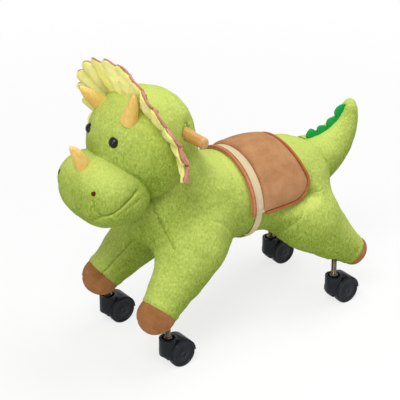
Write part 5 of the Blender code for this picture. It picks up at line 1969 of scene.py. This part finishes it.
    def build_strap(self) -> None:
        """The girth strap: a soft band all round, thinner at its selvedges, creased where it was folded."""
        degrees = np.linspace(-180.0, 180.0, 361)[:-1]
        half, thick = self.strap_half(degrees)[:, None], self.strap_thickness
        t = np.linspace(-1.0, 1.0, 21)
        across = np.concatenate([[-1.0], t, [1.0], t[::-1][1:-1]])
        up = np.concatenate([[0.0002], thick * (0.45 + 0.55 * (1 - t**6)), [0.0002], 0 * t[1:-1]])
        waves = 0.00022 * np.cos(t * 7.0 + 0.9 * np.sin(degrees * 0.09)[:, None]) * (1 - t**4)
        out = np.broadcast_to(self.skin_gap + up, (len(degrees), len(up))).copy()
        out[:, 1:22] += waves * 0.8 - 0.0001
        rings = TORSO.skin(self.strap_middle + half * across, degrees[:, None], out)
        skin = Skin(rings, loop=True, size=(0.036, 0.536))
        strap = piece("girth_strap_cloth", [skin], "strap_cloth", "strap_webbing", ["girth_strap"])
        rows = []
        for edge in (-1, 1):
            turn = np.linspace(-179.0, 179.0, 700)
            x = self.strap_middle + edge * (self.strap_half(turn) - 0.0022)
            line = TORSO.skin(x, turn, self.skin_gap + thick * 0.97)
            rows.extend(stitches(line, TORSO.out(x, turn), 0.0028, 0.004, 0.0003, 0.0002))
        piece("girth_strap_stitches", rows, "cream_thread", "strap_webbing")

    def build_keepers(self) -> None:
        """The small folded seam over the strap on each side, waisted in its middle."""
        low = self.skin_gap + self.strap_thickness + self.fit_gap
        for word, side in SIDES:
            turn = math.degrees(self.keeper_width / TORSO.half_height / 2)
            angle = np.linspace(0.0, 2 * math.pi, 33)[:-1]
            share = np.linspace(-1.0, 1.0, 41)[:, None]
            x = self.strap_middle + share * self.strap_widths[0] / 2
            waist = 0.72 + 0.28 * share**2
            degrees = side * (self.keeper_angle + turn * waist * np.cos(angle)[None, :])
            out = low + self.keeper_thickness / 2 * (1 + np.sin(angle))[None, :] * (0.8 + 0.2 * np.cos(share * 9))
            skin = Skin(TORSO.skin(x, degrees, out), size=(0.02, 0.025))
            name = f"keeper_{word}"
            piece(f"{name}_cloth", [skin], "strap_cloth", "strap_webbing", [name], fill=0.5)

    def build_band(self) -> None:
        """The double piped band in front of the strap: a padded strip of suede between two thin cords."""
        degrees = np.linspace(-self.band_drop, self.band_drop, 240)
        half, thick = self.band_width / 2, self.band_thickness
        t = np.linspace(-1.0, 1.0, 25)
        height = thick * (0.50 + 0.40 * (1 - t**4) * np.ones_like(degrees)[:, None])
        height += 0.00025 * np.cos(degrees * 0.9)[:, None] * (1 - t**2)
        along = np.concatenate([t, t[::-1]]) * (half - 0.0006)
        out = self.skin_gap + np.concatenate([height, np.zeros((len(degrees), 25))], 1)
        strip = Skin(TORSO.skin(self.band_middle + along, degrees[:, None], out), size=(0.02, 0.28))
        piece("saddle_band_strip", [strip], "saddle_suede", "saddle_suede", ["saddle_band"], fill=0.8)
        cords = []
        for edge in (-1, 1):
            x = np.full_like(degrees, self.band_middle + edge * (half - 0.0014))
            cord = TORSO.skin(x, degrees, self.skin_gap + thick - 0.0016)
            cords.append(tube(cord, 0.0014, 14, TORSO.out(x, degrees)))
        piece("saddle_band_welts", cords, "piping_suede", "piping_suede", fill=0.9)

    def build(self) -> None:
        """The saddle with all its trim."""
        self.build_pad()
        self.build_piping()
        self.build_strap()
        self.build_keepers()
        self.build_band()


# ---- handle, casters, wooden frame and studio


@dataclass
class Handle:
    """The wooden dowel, turned round with rounded ends."""

    length: float = 0.244
    end_round: float = 0.006

    def build(self) -> None:
        """The dowel's profile: an arc at each end and a straight line between, turned about its long axis."""
        turn = np.linspace(0.0, math.pi / 2, 10)
        arc = np.stack([self.end_round * (1 - np.cos(turn)), DOWEL_RADIUS - self.end_round * (1 - np.sin(turn))], 1)
        profile = np.vstack([arc, [[self.length / 2, DOWEL_RADIUS]], arc[::-1] * [-1, 1] + [self.length, 0.0]])
        skin = turned(profile, 64, (DOWEL_X, -self.length / 2, DOWEL_HEIGHT), 1)
        piece("handle_dowel", [skin], "dowel_wood", "dowel_wood", ["handle"], sharp=50.0)


@dataclass
class Caster:
    """A twin-wheel caster: a moulded hood, turned wheels and a threaded stem with a hexagon."""

    name: str
    front: bool
    side: int
    trail: float = 0.020
    wheel_out: float = 0.0071
    wheel_radius: float = 0.025
    wheel_width: float = 0.012
    wheel_round: float = 0.0028
    bore: float = 0.0036
    bore_depth: float = 0.009
    stem_bottom: float = 0.032
    hexagon_low: float = 0.0486
    hexagon_high: float = 0.0596
    hexagon_across: float = 0.00837
    pitch: float = 0.0015
    thread: float = 0.0006

    @property
    def place(self) -> tuple[float, float]:
        """The stem's place along the toy and across it."""
        return STEM_X[self.front], self.side * STEM_SIDE

    def wheel_profile(self) -> Array:
        """The wheel's outline: the bore, the inner face, the round tread and the dished face with its hub.

        Returns:
            Rows of a distance along the axle and a radius.
        """
        turn = np.linspace(0.0, math.pi / 2, 9)
        width, radius, bend = self.wheel_width, self.wheel_radius, self.wheel_round
        tread = np.stack([width - bend + bend * np.sin(turn), radius - bend + bend * np.cos(turn)], 1)
        inner = [(self.bore_depth, self.bore), (0.0005, self.bore), (0.0, self.bore + 0.0005), (0.0, radius - 0.0018)]
        inner += [(0.0006, radius - 0.0006), (0.0014, radius)]
        depths = (0.0, 0.0002, 0.0013, 0.0014, 0.0012, 0.0014, 0.0014, 0.0010, 0.0007, 0.0003, 0.0003, 0.0006)
        radii = (0.0212, 0.0206, 0.0198, 0.0190, 0.0168, 0.0164, 0.0158, 0.0154, 0.0078, 0.0070, 0.0040, 0.0034)
        face = np.stack([width - np.array(depths), np.array(radii)], 1)
        return np.vstack([inner, tread, face])

    def build_wheels(self) -> None:
        """The two wheels, each riding on its own spin."""
        x, y = self.place
        for word, side in (("outer", self.side), ("inner", -self.side)):
            middle = (x + self.trail, y + side * self.wheel_out, self.wheel_radius)
            skin = turned(self.wheel_profile(), 72, middle, 1, side)
            wheel = f"{self.name}_wheel_{word}"
            piece(f"{wheel}_moulding", [skin], "caster_nylon", "caster_nylon", [wheel], f"{wheel}_body", sharp=35.0)

    def build_stem(self) -> None:
        """The stem: rings whose radius dips along a screw line, and its hexagon with broken edges."""
        name, (x, y) = f"{self.name}_stem", self.place
        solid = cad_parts[name]
        top = max(vertex.co.z for vertex in solid.data.vertices) + solid.matrix_world.translation.z
        z = np.concatenate([[self.stem_bottom], np.arange(self.hexagon_high, top - 0.0004, self.pitch / 7), [top]])
        turn = circle(28)
        wave = 0.5 - 0.5 * np.cos(z[:, None] * (2 * math.pi / self.pitch) - turn[None, :])
        inside = (z > self.hexagon_high + 0.001) & (z < top - 0.001)
        radius = STEM_RADIUS - self.thread * wave**0.7 * inside[:, None]
        rod = np.stack([x + radius * np.cos(turn), y + radius * np.sin(turn), z[:, None] + 0 * radius], -1)
        low, high, across = self.hexagon_low, self.hexagon_high, self.hexagon_across
        cut, slim = 0.0009, across * 0.86
        hexagon = np.array([(low, slim), (low + cut, across), (high - cut, across), (high, slim)])
        skins = [Skin(rod), turned(hexagon, 6, (x, y, 0.0), 2)]
        piece(f"{name}_thread", skins, "zinc_steel", "zinc_steel", [name], sharp=35.0)

    def build_hood(self) -> None:
        """The hood: its solid's own faces, merged, with every outer edge rounded a little."""
        name = f"{self.name}_hood"
        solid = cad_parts[name]
        mesh = solid.data.copy()
        mesh.name = f"{name}_moulding"
        mesh.transform(solid.matrix_world)
        work = bmesh.new()
        work.from_mesh(mesh)
        bmesh.ops.remove_doubles(work, verts=work.verts, dist=0.00002)
        bmesh.ops.dissolve_limit(work, angle_limit=math.radians(1.5), verts=work.verts, edges=work.edges)
        work.to_mesh(mesh)
        work.free()
        mesh.materials.clear()
        for face in mesh.polygons:
            face.use_smooth = True
        item = piece(mesh.name, mesh, "caster_nylon", "caster_nylon", [name], f"{self.name}_caster")
        bevel = item.modifiers.new("edge", "BEVEL")
        bevel.width = 0.0005
        bevel.segments = 2
        bevel.limit_method = "ANGLE"
        bevel.angle_limit = math.radians(35)
        bevel.harden_normals = True

    def build(self) -> None:
        """The wheels, the stem and the hood."""
        self.build_wheels()
        self.build_stem()
        self.build_hood()


class WoodenFrame:
    """The pieces that keep their own solids and only take a finish."""

    finishes = {
        "_board": "plywood", "_rail": "plywood", "_post": "plywood", "_insert": "zinc_steel", "_axle": "zinc_steel",
    }

    def build(self) -> None:
        """Puts each solid's finish on it."""
        for name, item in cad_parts.items():
            for ending, finish in self.finishes.items():
                if name.endswith(ending):
                    item.data.materials.clear()
                    item.data.materials.append(LOOKS.get(finish))


@dataclass
class Studio:
    """The pale floor, the soft lamps, the plain surroundings and the camera."""

    azimuth: float = -36.39
    elevation: float = 26.61
    distance: float = 3.0
    focal_pixels: float = 1699.4
    target: Point = (-0.046, 0.0, 0.2447)
    picture: int = 400
    sensor: float = 36.0
    floor: float = 30.0
    lamp_target: Point = (0.0, 0.0, 0.25)
    lamps: tuple = (
        ("key", (-1.5, -1.2, 2.7), 1.2, 51.0),
        ("top", (0.7, 0.0, 2.8), 1.4, 39.0),
        ("fill", (2.0, -1.7, 1.2), 1.6, 9.0),
        ("front", (-2.6, -0.7, 0.9), 1.2, 12.0),
    )

    def build_camera(self) -> None:
        """A camera that looks at the target from the photograph's angle."""
        data = bpy.data.cameras.new("camera")
        data.sensor_width = self.sensor
        data.lens = self.focal_pixels * self.sensor / self.picture
        item = bpy.data.objects.new("camera", data)
        a, e = math.radians(self.azimuth), math.radians(self.elevation)
        back = Vector((math.sin(a) * math.cos(e), -math.cos(a) * math.cos(e), math.sin(e)))
        item.location = Vector(self.target) + back * self.distance
        item.rotation_euler = back.to_track_quat("Z", "Y").to_euler()
        bpy.context.scene.collection.objects.link(item)
        bpy.context.scene.camera = item

    def build_lamp(self, name: str, place: Point, size: float, power: float) -> None:
        """A square lamp that points at the toy.

        Args:
            name: its name.
            place: where it stands.
            size: its width in metres.
            power: its power in watts.
        """
        data = bpy.data.lights.new(name, "AREA")
        data.size = size
        data.energy = power
        item = bpy.data.objects.new(name, data)
        item.location = place
        item.rotation_euler = (Vector(place) - Vector(self.lamp_target)).to_track_quat("Z", "Y").to_euler()
        bpy.context.scene.collection.objects.link(item)

    def plain_white(self, w: Wiring) -> Socket:
        """A mask that is 1 for what the camera, a mirror or glass sees directly."""
        rays = [w.add("LightPath").outputs[f"Is {kind} Ray"] for kind in ("Camera", "Glossy", "Transmission")]
        return reduce(lambda first, second: w.math("MAXIMUM", first, second), rays)

    def build_world(self) -> None:
        """Surroundings that light the toy evenly and show white."""
        world = bpy.data.worlds.new("studio")
        bpy.context.scene.world = world
        world.use_nodes = True
        w = Wiring(world.node_tree)
        w.tree.nodes.clear()
        lit = w.add("Background", {"Color": WHITE, "Strength": 0.21})
        seen = w.add("Background", {"Color": WHITE, "Strength": 1.0})
        mix = w.add("MixShader", {0: self.plain_white(w), 1: lit.outputs[0], 2: seen.outputs[0]})
        w.add("OutputWorld", {"Surface": mix.outputs[0]})

    def build_floor(self) -> None:
        """A wide pale floor that keeps the toy's shadow."""
        corners = [(x * self.floor, y * self.floor, 0.0) for x, y in ((-1, -1), (1, -1), (1, 1), (-1, 1))]
        mesh = bpy.data.meshes.new("floor")
        mesh.from_pydata(corners, [], [(0, 1, 2, 3)])
        floor = bpy.data.objects.new("floor", mesh)
        bpy.context.scene.collection.objects.link(floor)
        material = bpy.data.materials.new("pale_floor")
        material.use_nodes = True
        w = Wiring(material.node_tree)
        pale = w.feed(w.tree.nodes["Principled BSDF"], {"Base Color": (0.90, 0.90, 0.90, 1.0), "Roughness": 0.9})
        glow = w.add("Emission", {"Color": WHITE, "Strength": 1.0})
        away = w.add("VectorMath", {0: w.place()}, operation="LENGTH").outputs["Value"]
        glowing = w.math("ADD", 0.78, w.math("MULTIPLY", w.band(away, 0.5, 1.6), 0.22))
        share = w.math("MULTIPLY", self.plain_white(w), glowing)
        mix = w.add("MixShader", {0: share, 1: pale.outputs[0], 2: glow.outputs[0]})
        w.feed(w.tree.nodes["Material Output"], {"Surface": mix.outputs[0]})
        mesh.materials.append(material)

    def build(self) -> None:
        """The whole studio."""
        bpy.context.scene.view_settings.view_transform = "Standard"
        self.build_camera()
        self.build_world()
        self.build_floor()
        for lamp in self.lamps:
            self.build_lamp(*lamp)


def stuffed_body(legs: Sequence[Leg], saddle: Saddle) -> StuffedBody:
    """The soft form of the whole body, with the reach over which each piece flows into the rest.

    Args:
        legs: the legs, for their forms.
        saddle: the saddle, for the room beside it.

    Returns:
        The soft form.
    """
    forms = {"torso": TORSO, "neck": NECK} | {f"{leg.name}_leg": leg.form() for leg in legs}
    reaches = {"torso": 0.045, "neck": 0.060} | {f"{leg.name}_leg": leg.sizes.flow for leg in legs}
    return StuffedBody(forms, reaches, saddle.room)


def main() -> None:
    """Builds the studio, then the toy from its largest piece to its smallest."""
    logging.basicConfig(level=logging.INFO)
    Studio().build()
    legs, saddle = [Leg(*corner) for corner in CORNERS], Saddle()
    casters = [Caster(*corner) for corner in CORNERS]
    body = stuffed_body(legs, saddle)
    for leg in legs:
        leg.body = body
    for part in (Body(body), *legs, Tail(body), Head(), Frill(), saddle, Handle(), *casters, WoodenFrame()):
        part.build()
        LOG.info("%s done", type(part).__name__)


if __name__ == "__main__":
    main()
